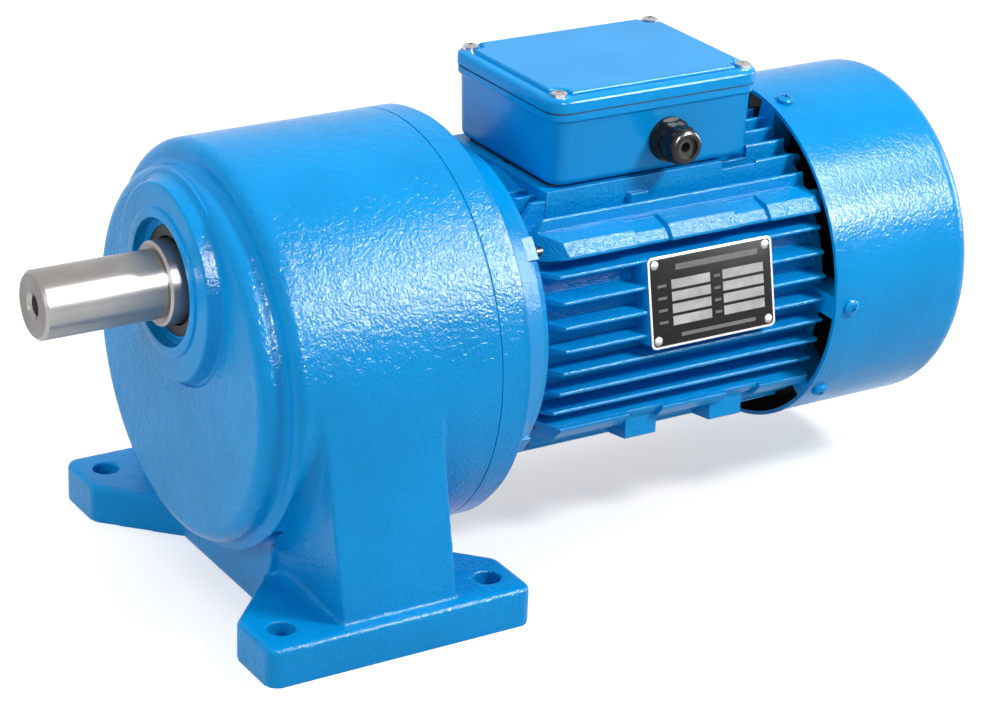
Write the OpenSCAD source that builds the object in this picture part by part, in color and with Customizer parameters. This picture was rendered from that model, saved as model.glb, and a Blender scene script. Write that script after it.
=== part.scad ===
// Offset cycloidal gearmotor, foot mounted. Millimetres, +Z up.
// The shaft end points to -X, the motor to +X, the cable gland to -Y.
// The origin is the middle of the four foot bolts on the base plane.

/* [Node] */
// piece to build, or "all"

/* [Axes] */
// height of the motor axis over the base
motor_z = 163; // [150:1:180]

/* [Gear casing] */
// outer radius of the casing
casing_r = 138.5; // [136:0.5:145]
// flat front of the casing
casing_front = -84; // [-88:1:-82]
// rear joint face of the casing
casing_rear = 76.5; // [76.5:0.5:80]
// radius of the raised front plate
plate_r = 123; // [118:1:126]
// radius of the shaft boss at its front edge
boss_r = 64.7; // [62:0.1:68]
// radius of the oil seal around the shaft
seal_r = 36; // [34:0.5:38]
// how far the boss stands off the front plate
boss_rise = 10.7; // [8:0.1:14]
// radius of the recess around the shaft
recess_r = 41.6; // [40.5:0.1:45]
// wall of the gear chamber
casing_wall = 12.5; // [11:0.5:12.5]

/* [Feet] */
// half length of a foot along the shaft
foot_half_x = 95.5; // [90:0.5:110]
// outer edge of the feet from the middle
foot_edge_y = 155.5; // [150:0.5:170]
// inner edge of the feet at their ends
foot_inner_y = 107; // [100:1:112]
// foot thickness
foot_t = 27; // [22:1:32]
// bolt spacing along the shaft
bolt_x = 150; // [140:1:160]
// bolt spacing across the shaft
bolt_y = 260; // [250:1:270]
// foot bolt hole diameter
bolt_d = 18; // [14:1:22]
// outer face of a leg where it meets its foot
leg_y = 147; // [142:1:150]
// front face of the legs at the base
leg_front = -37; // [-44:1:-32]
// rear face of the legs at the base
leg_rear = 46; // [40:1:50]
// how far the legs lean toward the shaft up to the motor axis
leg_lean = 14; // [8:1:16]
// radius of the hollow round between foot and leg
foot_round_r = 14; // [10:1:15]
// radius of the valley between the front plate and the legs
valley_r = 14; // [11:1:15]
// how much deeper the valley is under the casing
valley_drop = 12; // [8:1:13]
// wall of the legs
leg_wall = 12; // [10:1:14]
// half length of the belly under the casing
belly_half_x = 50; // [46:1:56]
// half width of the belly at the base
belly_y = 58; // [52:1:64]

/* [Output shaft] */
// shaft diameter
shaft_d = 45; // [40:1:50]
// free shaft length
shaft_len = 82; // [70:1:110]
// keyway width
key_w = 14; // [12:1:16]
// keyway depth
key_t = 5.5; // [4:0.5:7]
// keyway turned from straight down
key_turn = 138; // [0:1:359]
// centre hole diameter
centre_d = 14; // [10:1:16]

/* [Cycloid stage] */
// disc thickness
disc_t = 12; // [10:1:12]
// running clearance between disc and rollers
run_gap = 0.1; // [0.06:0.01:0.1]

/* [Motor] */
// core radius of the frame between the fins
core_r = 92; // [90:1:96]
// radius that the fin tips lie on
fin_r = 108; // [104:1:112]
// pitch of the level fins on the sides
fin_pitch = 16; // [14:0.5:17]
// pitch of the upright fins above and below
top_pitch = 12; // [10:0.5:13]
// fin thickness at the tip
fin_t = 3; // [2.5:0.1:4]
// gap between rotor and stator
air_gap = 0.5; // [0.3:0.1:0.8]
// fan blades
fan_blades = 9; // [7:1:11]
// fan tip radius
fan_r = 96; // [90:1:104]

/* [Fan cowl] */
// outer radius of the cowl
cowl_r = 120; // [118:1:126]
// rear face of the cowl
cowl_rear = 470; // [455:1:480]
// sheet thickness of the cowl
cowl_t = 2; // [1.5:0.5:3]
// edge radius at the rear of the cowl
cowl_edge = 13; // [8:1:18]

/* [Terminal box] */
// lid length
lid_len = 165.5; // [155:0.5:175]
// lid width
lid_w = 132; // [126:1:140]
// seam between box and lid
lid_z = 310; // [304:1:320]
// corner radius of the box
box_corner = 13; // [8:1:18]
// wall of the box
box_wall = 4.5; // [3:0.5:6]

/* [Nameplate] */
// plate length
name_len = 100; // [90:1:106]
// plate height
name_h = 62; // [56:1:66]

/* [Hidden] */
$fn = 96;

paint = [0.10, 0.45, 0.75];
steel = [0.72, 0.72, 0.74];
dark = [0.12, 0.12, 0.13];
copper = [0.72, 0.42, 0.22];

// axes: the wheel and pinion set how far the output axis stands over the motor axis
tooth_m = 2;
pinion_n = 18;
wheel_n = 35;
rise = tooth_m * (pinion_n + wheel_n) / 2;
zm = motor_z;
zo = motor_z + rise;

// stations along the shaft
boss_front = casing_front - boss_rise;
collar_front = casing_front - 16;
shaft_end = collar_front - shaft_len;
front_seat = -75;
rear_seat = -46;
carrier_x = -24;
ring_x = -4;
cover_x = ring_x + 38;
disc_a_x = 0;
disc_b_x = disc_a_x + 16;
gear_x = 52;
flange_x = casing_rear + 16.5;
frame_x = flange_x + 35;
frame_end = frame_x + 224;
core_x0 = frame_x + 52;
core_x1 = core_x0 + 120;
shield_x = frame_end;

adapter_circle = casing_r - 21.5;

// cycloid stage
lobes = 11;
pins = lobes + 1;
pin_circle = 56;
pin_r = 3.5;
ring_roller_r = 6;
throw = 3;
out_circle = 34;
out_pins = 8;
out_pin_r = 5;
out_roller_r = 7;
cam_r = 14;
cam_roller_r = 2.48;

// motor and box
stator_r = 86;
bore_r = 60;
collar_r = 27.5;
pedestal_z = 257;
pedestal_x = frame_x + 24;
pedestal_len = 140;
pedestal_w = 124;
box_z = 258.5;
box_x = frame_x + 107.5;
gland_x = box_x + 9.5;
gland_z = box_z + 22.5;
screw_x = lid_len / 2 - 10;
screw_y = lid_w / 2 - 10.5;
lug_turn = 38;
lug_r = 100;
plate_turn = 11.5;
plate_x = frame_x + 129;
plate_r0 = fin_r + 0.5;
cowl_x = frame_end;
cowl_screw_x = cowl_x + 13;
screw_root = lug_r + 6.5;

// a body turned about an axis at height z; profile x is radius, profile y lies along the shaft
module turned(z) {
  translate([0, 0, z]) rotate([0, 90, 0]) rotate_extrude() children();
}
module tube(z, x0, x1, r0, r1) {
  turned(z) translate([r0, x0]) square([r1 - r0, x1 - x0]);
}
module rod(z, x0, x1, r) { tube(z, x0, x1, 0, r); }
// copies round an axis at height z; the first lies above the axis
module around(z, n, first = 0) {
  for (i = [0:n - 1]) turn(z, first + i * 360 / n) children();
}
module turn(z, a) {
  translate([0, 0, z]) rotate([a, 0, 0]) translate([0, 0, -z]) children();
}
module both_sides() {
  children();
  mirror([0, 1, 0]) children();
}
// a section drawn with y across and z up, from x0 to x1
module along(x0, x1) {
  translate([x0, 0, 0]) rotate([90, 0, 90]) linear_extrude(x1 - x0) children();
}
module round_rect(l, w, r) {
  square([l - 2 * r, w], center = true);
  square([l, w - 2 * r], center = true);
  for (x = [-1, 1], y = [-1, 1]) translate([x * (l / 2 - r), y * (w / 2 - r)]) circle(r);
}
module slab(l, w, r, z0, z1) {
  translate([box_x, 0, z0]) linear_extrude(z1 - z0) round_rect(l, w, r);
}
// screw along the shaft: shank from x0 to x1, head behind x1
module cap_screw(x0, x1, r, z) {
  difference() {
    union() {
      rod(z, x0, x1, r);
      rod(z, x1, x1 + 2 * r, 1.6 * r);
    }
    translate([x1 + r, 0, z]) rotate([0, 90, 0]) cylinder(h = r + 1, r = r, $fn = 6);
  }
}

// ball bearings: bore and outside radius, width w from x0
function ball_r(bore, od) = (od - bore) * 0.28;
module race(z, x0, w, bore, od, r0, r1) {
  turned(z) difference() {
    translate([r0, x0]) square([r1 - r0, w]);
    translate([(bore + od) / 2, x0 + w / 2]) circle(ball_r(bore, od) + 0.04);
  }
}
module outer_race(z, x0, w, bore, od) {
  race(z, x0, w, bore, od, od - (od - bore) * 0.3, od);
}
module inner_race(z, x0, w, bore, od) {
  race(z, x0, w, bore, od, bore, bore + (od - bore) * 0.3);
}
module ball_set(z, x0, w, bore, od, n) {
  rp = (bore + od) / 2;
  rb = ball_r(bore, od);
  around(z, n) translate([x0 + w / 2, 0, z + rp]) sphere(rb);
  tube(z, x0 + w / 2 - 1.2, x0 + w / 2 + 1.2, rp - rb * 0.3, rp + rb * 0.3);
}
// lip seal with a rubber lip on the shaft
module lip_seal(z, x0, w, bore, od) {
  turned(z) polygon([[od, x0], [od, x0 + w], [od - 2, x0 + w], [od - 2, x0 + 2.5],
    [bore + 3, x0 + 2.5], [bore + 1.5, x0 + w - 2], [bore + 0.06, x0 + w - 3],
    [bore + 0.06, x0 + w - 3.5], [bore + 1.6, x0]]);
}

// ---------- gear casing ----------
module casing_skin() {
  difference() {
    casing_turn();
    // valley behind the front plate, which deepens toward the base
    turned(zm + valley_drop) translate([casing_r + valley_r - 1.5, casing_front + 26])
      circle(valley_r);
  }
}
module casing_turn() {
  x = casing_front;
  turned(zm) {
    translate([0, x]) square([plate_r - 11, 30]);
    translate([plate_r - 11, x + 11]) circle(11);
    translate([0, x + 11]) square([plate_r, 10]);
    difference() {
      translate([plate_r - 1, x + 12]) square([5, 5]);
      translate([plate_r + 4, x + 12]) circle(4);
    }
    translate([0, x + 16]) square([casing_r - 10, 20]);
    translate([casing_r - 10, x + 26]) circle(10);
    translate([0, x + 26]) square([casing_r, casing_rear - x - 26]);
  }
}
module shaft_boss() {
  turned(zo) {
    polygon([[0, casing_front + 14], [boss_r + 3.4, casing_front + 14],
      [boss_r + 3.4, casing_front], [boss_r, boss_front + 2], [0, boss_front + 2]]);
    translate([boss_r - 2, boss_front + 2]) circle(2);
    translate([0, boss_front]) square([boss_r - 2, 4]);
    translate([0, boss_front - 1.3]) square([recess_r + 7, 4]);
  }
}
module foot_plan() {
  offset(r = 9) offset(delta = -9) polygon([[-foot_half_x, -foot_edge_y],
    [foot_half_x, -foot_edge_y], [foot_half_x, -foot_inner_y],
    [foot_half_x - 29, 22 - foot_inner_y], [belly_half_x, -belly_y],
    [-belly_half_x, -belly_y], [29 - foot_half_x, 22 - foot_inner_y],
    [-foot_half_x, -foot_inner_y]]);
}
module foot() {
  hull() {
    linear_extrude(foot_t - 3) foot_plan();
    linear_extrude(foot_t - 0.9) offset(delta = -0.9) foot_plan();
    linear_extrude(foot_t) offset(delta = -3) foot_plan();
  }
}
// a section across the shaft, kept between the leaning faces of the legs
module leaning(inset) {
  intersection() {
    along(leg_front - leg_lean - 1, leg_rear + 1) children();
    translate([0, leg_y + 1, 0]) rotate([90, 0, 0]) linear_extrude(2 * leg_y + 2)
      polygon([[leg_front + inset, -2], [leg_rear - inset, -2],
        [leg_rear - leg_lean - inset, zm], [leg_front - leg_lean + inset, zm]]);
  }
}
module legs() {
  leaning(0)
    polygon([[-leg_y, foot_t / 2], [-casing_r, zm], [casing_r, zm], [leg_y, foot_t / 2]]);
  // belly between the legs, with its corner rounded into their front and rear faces
  along(-belly_half_x, belly_half_x)
    polygon([[-belly_y, 0], [-belly_y - 26, zm - 60], [belly_y + 26, zm - 60], [belly_y, 0]]);
  // hollow rounds between the feet and the legs, which run out at the legs' outer faces
  lean = leg_lean * foot_t / zm;
  both_sides() {
    translate([leg_front - lean, 0, foot_t]) foot_round();
    translate([leg_rear - lean, 0, foot_t]) mirror([1, 0, 0]) foot_round();
  }
}
module foot_round() {
  r = foot_round_r;
  l = leg_y - belly_y - 6;
  // the cutter starts through the corner and ends level with both faces
  run_in = 0.28 * r;
  a = atan2(run_in, l);
  difference() {
    translate([-r, -leg_y + 3, -2]) cube([r + 4, l, r + 2]);
    translate([run_in - r, -leg_y, r - run_in]) rotate([a - 90, 0, a])
      translate([0, 0, -20]) cylinder(h = l + 60, r = r);
  }
}
module under_pocket() {
  difference() {
    leaning(leg_wall) polygon([[-leg_y + 15, -1], [-casing_r + 14, zm - 63],
      [casing_r - 14, zm - 63], [leg_y - 15, -1]]);
    rod(zm, leg_front - 40, leg_rear + 40, casing_r - 0.5);
  }
}
module gear_casing() {
  color(paint) difference() {
    union() {
      casing_skin();
      shaft_boss();
      difference() {
        union() {
          legs();
          both_sides() foot();
        }
        under_pocket();
      }
    }
    // gear chamber round the bearing tube and the bosses for the adapter bolts
    difference() {
      union() {
        rod(zm, casing_front + 34, casing_rear + 1, casing_r - casing_wall);
        rod(zm, casing_front + 18, casing_front + 35, 108);
      }
      rod(zo, casing_front, ring_x, 71);
      around(zm, 6, 30) rod(zm + adapter_circle, gear_x, casing_rear, 10);
    }
    // output shaft bore: recess, seal seat, two bearing seats, carrier room
    turned(zo) {
      translate([0, boss_front - 2]) square([recess_r, 8.7]);
      translate([0, boss_front]) square([seal_r, 20]);
      translate([0, front_seat]) square([50, 40]);
      translate([0, rear_seat]) square([55, 30]);
      translate([0, carrier_x]) square([56, 30]);
    }
    around(zm, 6, 30) rod(zm + adapter_circle, casing_rear - 20, casing_rear + 1, 4);
    around(zo, 6, 15) rod(zo + 66.75, ring_x - 10, ring_x + 1, 2.5);
    for (x = [-1, 1], y = [-1, 1])
      translate([x * bolt_x / 2, y * bolt_y / 2, -1]) cylinder(h = foot_t + 2, d = bolt_d);
  }
}
module output_oil_seal() { color(dark) lip_seal(zo, front_seat - 12, 10, collar_r, seal_r); }
module output_bearing_outers() {
  color(steel) {
    outer_race(zo, front_seat, 21, collar_r, 50);
    outer_race(zo, rear_seat, 22, 30, 55);
  }
}
module output_bearing_balls() {
  color(steel) {
    ball_set(zo, front_seat, 21, collar_r, 50, 10);
    ball_set(zo, rear_seat, 22, 30, 55, 10);
  }
}
module output_bearing_inners() {
  color(steel) {
    inner_race(zo, front_seat, 21, collar_r, 50);
    inner_race(zo, rear_seat, 22, 30, 55);
  }
}

// ---------- cycloid stage ----------
module cycloid_ring() {
  color(steel) difference() {
    rod(zo, ring_x, cover_x, 71);
    rod(zo, ring_x + 3, cover_x + 1, pin_circle + ring_roller_r + 0.5);
    rod(zo, ring_x - 1, ring_x + 4, 50.5);
    around(zo, pins) rod(zo + pin_circle, ring_x + 0.5, ring_x + 4, pin_r);
    around(zo, 6, 15) rod(zo + 66.75, ring_x - 1, cover_x + 1, 2.5);
  }
}
module ring_pins() {
  color(steel) around(zo, pins) rod(zo + pin_circle, ring_x + 0.5, cover_x + 2, pin_r);
}
module ring_rollers() {
  color(steel) around(zo, pins)
    tube(zo + pin_circle, ring_x + 3.2, cover_x - 3, pin_r, ring_roller_r);
}
module ring_cover() {
  color(steel) difference() {
    union() {
      rod(zo, cover_x, cover_x + 10, 71);
      rod(zo, cover_x, cover_x + 17, 31);
    }
    rod(zo, cover_x - 1, cover_x + 18, 15);
    rod(zo, cover_x + 2, cover_x + 16, 23.5);
    around(zo, pins) rod(zo + pin_circle, cover_x - 1, cover_x + 2, pin_r);
    around(zo, 6, 15) rod(zo + 66.75, cover_x - 1, cover_x + 11, 2.5);
  }
}
module cover_screws() {
  color(dark) around(zo, 6, 15) cap_screw(ring_x - 9, cover_x + 10, 2.5, zo + 66.75);
}
module cover_bearing_outer() { color(steel) outer_race(zo, cover_x + 2, 14, 10, 23.5); }
module cover_bearing_balls() { color(steel) ball_set(zo, cover_x + 2, 14, 10, 23.5, 8); }
module cover_bearing_inner() { color(steel) inner_race(zo, cover_x + 2, 14, 10, 23.5); }

// outline of a disc that rolls inside the ring rollers, as the rollers' inner envelope
function cycloid_point(t) =
  let (r = ring_roller_r + run_gap,
       s = -atan2(sin(-lobes * t), pin_circle / (throw * pins) - cos(-lobes * t)))
  [pin_circle * cos(t) - r * cos(t - s) - throw * cos(pins * t),
   pin_circle * sin(t) - r * sin(t - s) - throw * sin(pins * t)];
module cycloid_disc(x0) {
  steps = lobes * 40;
  translate([x0, 0, zo]) rotate([0, 90, 0]) translate([throw, 0, 0])
    linear_extrude(disc_t) difference() {
      polygon([for (i = [0:steps - 1]) cycloid_point(i * 360 / steps)]);
      circle(cam_r + 2 * cam_roller_r + 0.1);
      for (i = [0:out_pins - 1]) rotate(i * 360 / out_pins)
        translate([out_circle, 0]) circle(out_roller_r + throw + run_gap);
    }
}
module cycloid_disc_a() { color(steel) cycloid_disc(disc_a_x); }
module cycloid_disc_b() { color(steel) turn(zo, 180) cycloid_disc(disc_b_x); }

module output_shaft() {
  color(steel) difference() {
    turned(zo) {
      polygon([[0, shaft_end], [shaft_d / 2 - 2, shaft_end], [shaft_d / 2, shaft_end + 2],
        [shaft_d / 2, collar_front], [collar_r - 1.5, collar_front],
        [collar_r, collar_front + 1.5], [collar_r, front_seat + 21], [30, front_seat + 21],
        [30, carrier_x], [46, carrier_x], [46, carrier_x + 14], [0, carrier_x + 14]]);
    }
    // keyway with round ends, cut from the shaft end towards the shoulder
    turn(zo, key_turn) translate([0, 0, zo - shaft_d / 2 - 1]) linear_extrude(key_t + 1) {
      translate([shaft_end + 8 + key_w / 2, -key_w / 2]) square([shaft_len - 16 - key_w, key_w]);
      translate([shaft_end + 8 + key_w / 2, 0]) circle(key_w / 2);
      translate([collar_front - 8 - key_w / 2, 0]) circle(key_w / 2);
    }
    turned(zo) polygon([[0, shaft_end - 1], [centre_d / 2 + 3, shaft_end - 1],
      [centre_d / 2, shaft_end + 2.6], [centre_d / 2, shaft_end + 36], [0, shaft_end + 40]]);
    rod(zo, carrier_x + 3, carrier_x + 15, 10.5);
    around(zo, out_pins) rod(zo + out_circle, carrier_x + 4, carrier_x + 15, out_pin_r);
  }
}
module output_pins() {
  color(steel) around(zo, out_pins) rod(zo + out_circle, carrier_x + 4, cover_x - 4, out_pin_r);
}
module output_rollers() {
  color(steel) around(zo, out_pins)
    tube(zo + out_circle, carrier_x + 14, cover_x - 5, out_pin_r, out_roller_r);
}
module pilot_bush() { color(copper) tube(zo, carrier_x + 3, carrier_x + 14, 7.55, 10.5); }

module eccentric_shaft() {
  color(steel) {
    rod(zo, carrier_x + 4, carrier_x + 15, 7.5);
    rod(zo, carrier_x + 15, cover_x + 2, 10.5);
    rod(zo, cover_x + 2, gear_x, 10);
    difference() {
      rod(zo, gear_x, gear_x + 22, 9);
      tube(zo, gear_x + 18, gear_x + 19.2, 8.2, 10);
    }
    rod(zo - throw, disc_a_x, disc_a_x + disc_t, cam_r);
    rod(zo + throw, disc_b_x, disc_b_x + disc_t, cam_r);
  }
}
module cam_rollers(z, x0) {
  around(z, 12) rod(z + cam_r + cam_roller_r + 0.02, x0 + 0.5, x0 + disc_t - 0.5, cam_roller_r);
  tube(z, x0 + disc_t / 2 - 1, x0 + disc_t / 2 + 1, cam_r + 1, cam_r + 2 * cam_roller_r - 1);
}
module eccentric_rollers() {
  color(steel) {
    cam_rollers(zo - throw, disc_a_x);
    cam_rollers(zo + throw, disc_b_x);
  }
}

// spur gear outline: involute flanks thinned for backlash
function inv(a) = tan(a) - a * PI / 180;
function half_tooth(r, n) =
  let (rp = tooth_m * n / 2, rb = rp * cos(20))
  180 / PI * ((PI * tooth_m / 2 - 0.16) / (2 * rp) + inv(20) - inv(acos(min(1, rb / r))));
function tooth(n, a) =
  let (rp = tooth_m * n / 2, rb = rp * cos(20), rf = rp - 1.25 * tooth_m, ra = rp + 0.96 * tooth_m,
       r0 = max(rb, rf), rs = [for (k = [0:4]) r0 + (ra - r0) * k / 4])
  concat([[rf, a - half_tooth(r0, n) - 0.2]],
    [for (r = rs) [r, a - half_tooth(r, n)]],
    [for (k = [4:-1:0]) [rs[k], a + half_tooth(rs[k], n)]],
    [[rf, a + half_tooth(r0, n) + 0.2]]);
module spur(n, x0, x1, z, first) {
  translate([x0, 0, z]) rotate([0, 90, 0]) linear_extrude(x1 - x0)
    polygon([for (i = [0:n - 1]) for (p = tooth(n, first + i * 360 / n))
      [p[0] * cos(p[1]), p[0] * sin(p[1])]]);
}
module input_wheel() {
  color(steel) difference() {
    spur(wheel_n, gear_x, gear_x + 18, zo, 180 / wheel_n);
    rod(zo, gear_x - 1, gear_x + 19, 9);
    tube(zo, gear_x + 13, gear_x + 19, 16, 28);
  }
}
module wheel_circlip() {
  color(dark) tube(zo, gear_x + 18, gear_x + 19.2, 8.2, 11.5);
}
module motor_pinion() {
  color(steel) difference() {
    spur(pinion_n, gear_x - 1, gear_x + 19, zm, 0);
    rod(zm, gear_x - 2, gear_x + 20, 8);
  }
}

// ---------- adapter between the casing and the motor ----------
module input_adapter() {
  color(paint) difference() {
    union() {
      rod(zm, casing_rear, flange_x, casing_r);
      tube(zm, casing_rear - 6, casing_rear, 118, casing_r - casing_wall);
    }
    rod(zm, casing_rear - 7, flange_x + 1, 22);
    rod(zm, casing_rear + 6, flange_x + 1, 26);
    tube(zm, casing_rear - 1, casing_rear + 8, 40, 106);
    around(zm, 6, 30) {
      rod(zm + adapter_circle, casing_rear - 7, flange_x, 4);
      rod(zm + adapter_circle, casing_rear - 7, casing_rear, 10.3);
      rod(zm + adapter_circle, flange_x - 9, flange_x + 1, 6.6);
    }
    around(zm, 4) rod(zm + 62, casing_rear + 8, flange_x + 1, 4);
  }
}
module adapter_bolts() {
  color(dark) around(zm, 6, 30) cap_screw(casing_rear - 18, flange_x - 9, 4, zm + adapter_circle);
}
module motor_oil_seal() { color(dark) lip_seal(zm, casing_rear + 6.2, 7, 15, 26); }

module motor_flange() {
  color(paint) difference() {
    union() {
      turned(zm) polygon([[0, flange_x], [135, flange_x], [136, flange_x + 1],
        [136, flange_x + 5], [135, flange_x + 6], [124, flange_x + 6], [122, flange_x + 9],
        [111, frame_x - 4], [110, frame_x], [0, frame_x]]);
      tube(zm, frame_x - 1, frame_x + 5, stator_r - 5, stator_r);
      // flat-topped lugs over the tie bolts
      for (a = [lug_turn, -lug_turn, 180 - lug_turn, 180 + lug_turn])
        turn(zm, a + 90) translate([flange_x + 15, -8, zm + lug_r - 8])
          cube([frame_x - flange_x - 15, 16, 21]);
    }
    tube(zm, flange_x + 10, frame_x + 6, 42, stator_r - 5);
    rod(zm, flange_x - 1, frame_x + 6, 17);
    rod(zm, frame_x - 20, frame_x + 6, 31);
    around(zm, 4) rod(zm + 62, flange_x - 1, flange_x + 11, 4);
    for (a = [lug_turn, -lug_turn, 180 - lug_turn, 180 + lug_turn])
      turn(zm, a + 90) rod(zm + lug_r, frame_x - 18, frame_x + 1, 3);
  }
}
module flange_bolts() {
  color(dark) around(zm, 4) cap_screw(flange_x - 8, flange_x + 10, 4, zm + 62);
}

// ---------- motor ----------
// one tapered cooling fin at an offset from the axis, with a rounded tip
module fin(offset_y) {
  tip = sqrt(pow(fin_r, 2) - pow(offset_y, 2)) - fin_t / 2;
  polygon([[0, offset_y - fin_t], [tip, offset_y - fin_t / 2],
    [tip, offset_y + fin_t / 2], [0, offset_y + fin_t]]);
  translate([tip, offset_y]) circle(fin_t / 2, $fn = 16);
}
// cooling fins: level on the sides, upright above and below
module fin_section() {
  translate([0, zm]) {
    for (k = [-3:3], a = [0, 180]) rotate(a) fin(k * fin_pitch);
    for (k = [-6:6], a = [90, 270]) rotate(a) fin(k * top_pitch);
  }
}
// corner ledges: a shelf, its raised pads and the foot bosses between them
module ledge(x0, x1, inset) {
  both_sides() for (s = [-1, 1]) along(x0, x1)
    polygon([[-58, zm + s * 58], [-84, zm + s * 56], [inset - 97, zm + s * (60 - inset / 3)],
      [inset - 97, zm + s * (62 - inset / 3)], [-90 + inset / 3, zm + s * (69.5 - inset)],
      [-74, zm + s * (72 - inset / 2)], [-58, zm + s * 73]]);
}
module foot_boss(x0, x1) {
  both_sides() along(x0, x1)
    polygon([[-60, zm - 60], [-89, zm - 62], [-89, zm - 82], [-70, zm - 85], [-60, zm - 80]]);
}
// cuts the front ends of fins and ledges back to the core
module front_taper() {
  turned(zm) polygon([[core_r, frame_x - 1], [130, frame_x - 1], [130, frame_x + 34],
    [core_r + 0.5, frame_x + 2]]);
}
module motor_frame() {
  color(paint) difference() {
    union() {
      rod(zm, frame_x, frame_end, core_r);
      difference() {
        union() {
          difference() {
            along(frame_x, frame_end) fin_section();
            translate([frame_x - 1, -80, pedestal_z - 6])
              cube([box_x + lid_len / 2 + 3 - frame_x, 160, 40]);
          }
          ledge(frame_x, frame_end, 3);
          ledge(frame_x, frame_x + 75, 0);
          ledge(frame_x + 102, frame_x + 155, 0);
          ledge(frame_x + 182, frame_end - 1, 0);
          foot_boss(frame_x + 78, frame_x + 103);
          foot_boss(frame_x + 147, frame_x + 173);
        }
        front_taper();
      }
      // pedestal under the terminal box with its shelf
      translate([pedestal_x, -pedestal_w / 2, zm + 40])
        cube([pedestal_len, pedestal_w, pedestal_z - zm - 40]);
      translate([frame_x + 14, -76, zm + 50]) cube([208, 152, 22]);
      both_sides() translate([frame_x + 88, -66, zm + 60]) cube([14, 6, 24]);
      // thick round ends of the upright fins in front of the pedestal
      for (k = [-4:4]) translate([frame_x + 21, k * top_pitch, zm + 60])
        cylinder(h = pedestal_z - zm - 67 - abs(k), r = 4);
      // seat for the nameplate
      turn(zm, 90 - plate_turn) translate([plate_x - name_len / 2, -name_h / 2 + 3, zm + 80])
        cube([name_len, name_h - 6, plate_r0 - 80]);
    }
    rod(zm, frame_x - 1, frame_end + 1, stator_r);
    for (a = [lug_turn, -lug_turn, 180 - lug_turn, 180 + lug_turn])
      turn(zm, a + 90) rod(zm + lug_r, frame_x - 1, frame_end + 1, 3);
    // lead passage up into the terminal box
    translate([frame_x + 40, 0, zm + 60]) cylinder(h = 40, r = 9);
    turn(zm, 90 - plate_turn) for (x = [-1, 1], y = [-1, 1])
      translate([plate_x + x * (name_len / 2 - 5.5), y * (name_h / 2 - 5.5), zm + plate_r0 - 4])
        cylinder(h = 5, r = 1.5);
  }
}
module tie_bolts() {
  color(dark) for (a = [lug_turn, -lug_turn, 180 - lug_turn, 180 + lug_turn])
    turn(zm, a + 90) cap_screw(frame_x - 17, frame_end + 8, 3, zm + lug_r);
}
module stator_core() {
  color(dark) difference() {
    rod(zm, core_x0, core_x1, stator_r);
    rod(zm, core_x0 - 1, core_x1 + 1, bore_r);
    around(zm, 24) translate([core_x0 - 1, -2, zm + bore_r + 2])
      cube([core_x1 - core_x0 + 2, 4, 14]);
  }
}
module stator_windings() {
  color(copper) {
    for (x = [core_x0 - 26, core_x1]) turned(zm) {
      translate([bore_r + 6, x]) square([10, 26]);
      translate([bore_r + 2, x + 4]) square([18, 18]);
      for (r = [bore_r + 6, bore_r + 16], y = [4, 22]) translate([r, x + y]) circle(4);
    }
    around(zm, 24) translate([core_x0, -2, zm + bore_r + 2]) cube([core_x1 - core_x0, 4, 14]);
  }
}
module rotor_core() {
  color(dark) difference() {
    rod(zm, core_x0 + 2, core_x1 - 2, bore_r - air_gap);
    rod(zm, core_x0 + 1, core_x1 - 1, 20);
  }
}
module rotor_cage() {
  color(steel) for (x = [core_x0 - 8, core_x1 - 2]) {
    tube(zm, x, x + 10, 38, bore_r - 3);
    around(zm, 8) translate([x < core_x0 ? x - 8 : x + 10, -1.5, zm + 40]) cube([8, 3, 14]);
  }
}
module motor_shaft() {
  color(steel) turned(zm)
    polygon([[0, gear_x - 2], [7, gear_x - 2], [8, gear_x - 1], [8, casing_rear - 2],
      [15, casing_rear - 2], [15, frame_x - 4], [20, frame_x - 4], [20, shield_x + 3],
      [15, shield_x + 3], [15, shield_x + 20], [12, shield_x + 20], [12, shield_x + 63],
      [10.5, shield_x + 65], [0, shield_x + 65]]);
}
module motor_bearing_outers() {
  color(steel) {
    outer_race(zm, frame_x - 20, 16, 15, 31);
    outer_race(zm, shield_x + 3, 16, 15, 31);
  }
}
module motor_bearing_balls() {
  color(steel) {
    ball_set(zm, frame_x - 20, 16, 15, 31, 9);
    ball_set(zm, shield_x + 3, 16, 15, 31, 9);
  }
}
module motor_bearing_inners() {
  color(steel) {
    inner_race(zm, frame_x - 20, 16, 15, 31);
    inner_race(zm, shield_x + 3, 16, 15, 31);
  }
}
cowl_screw_turns = [14.5, 91.7, 128.8, 345.5, 268.3, 231.2];
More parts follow.
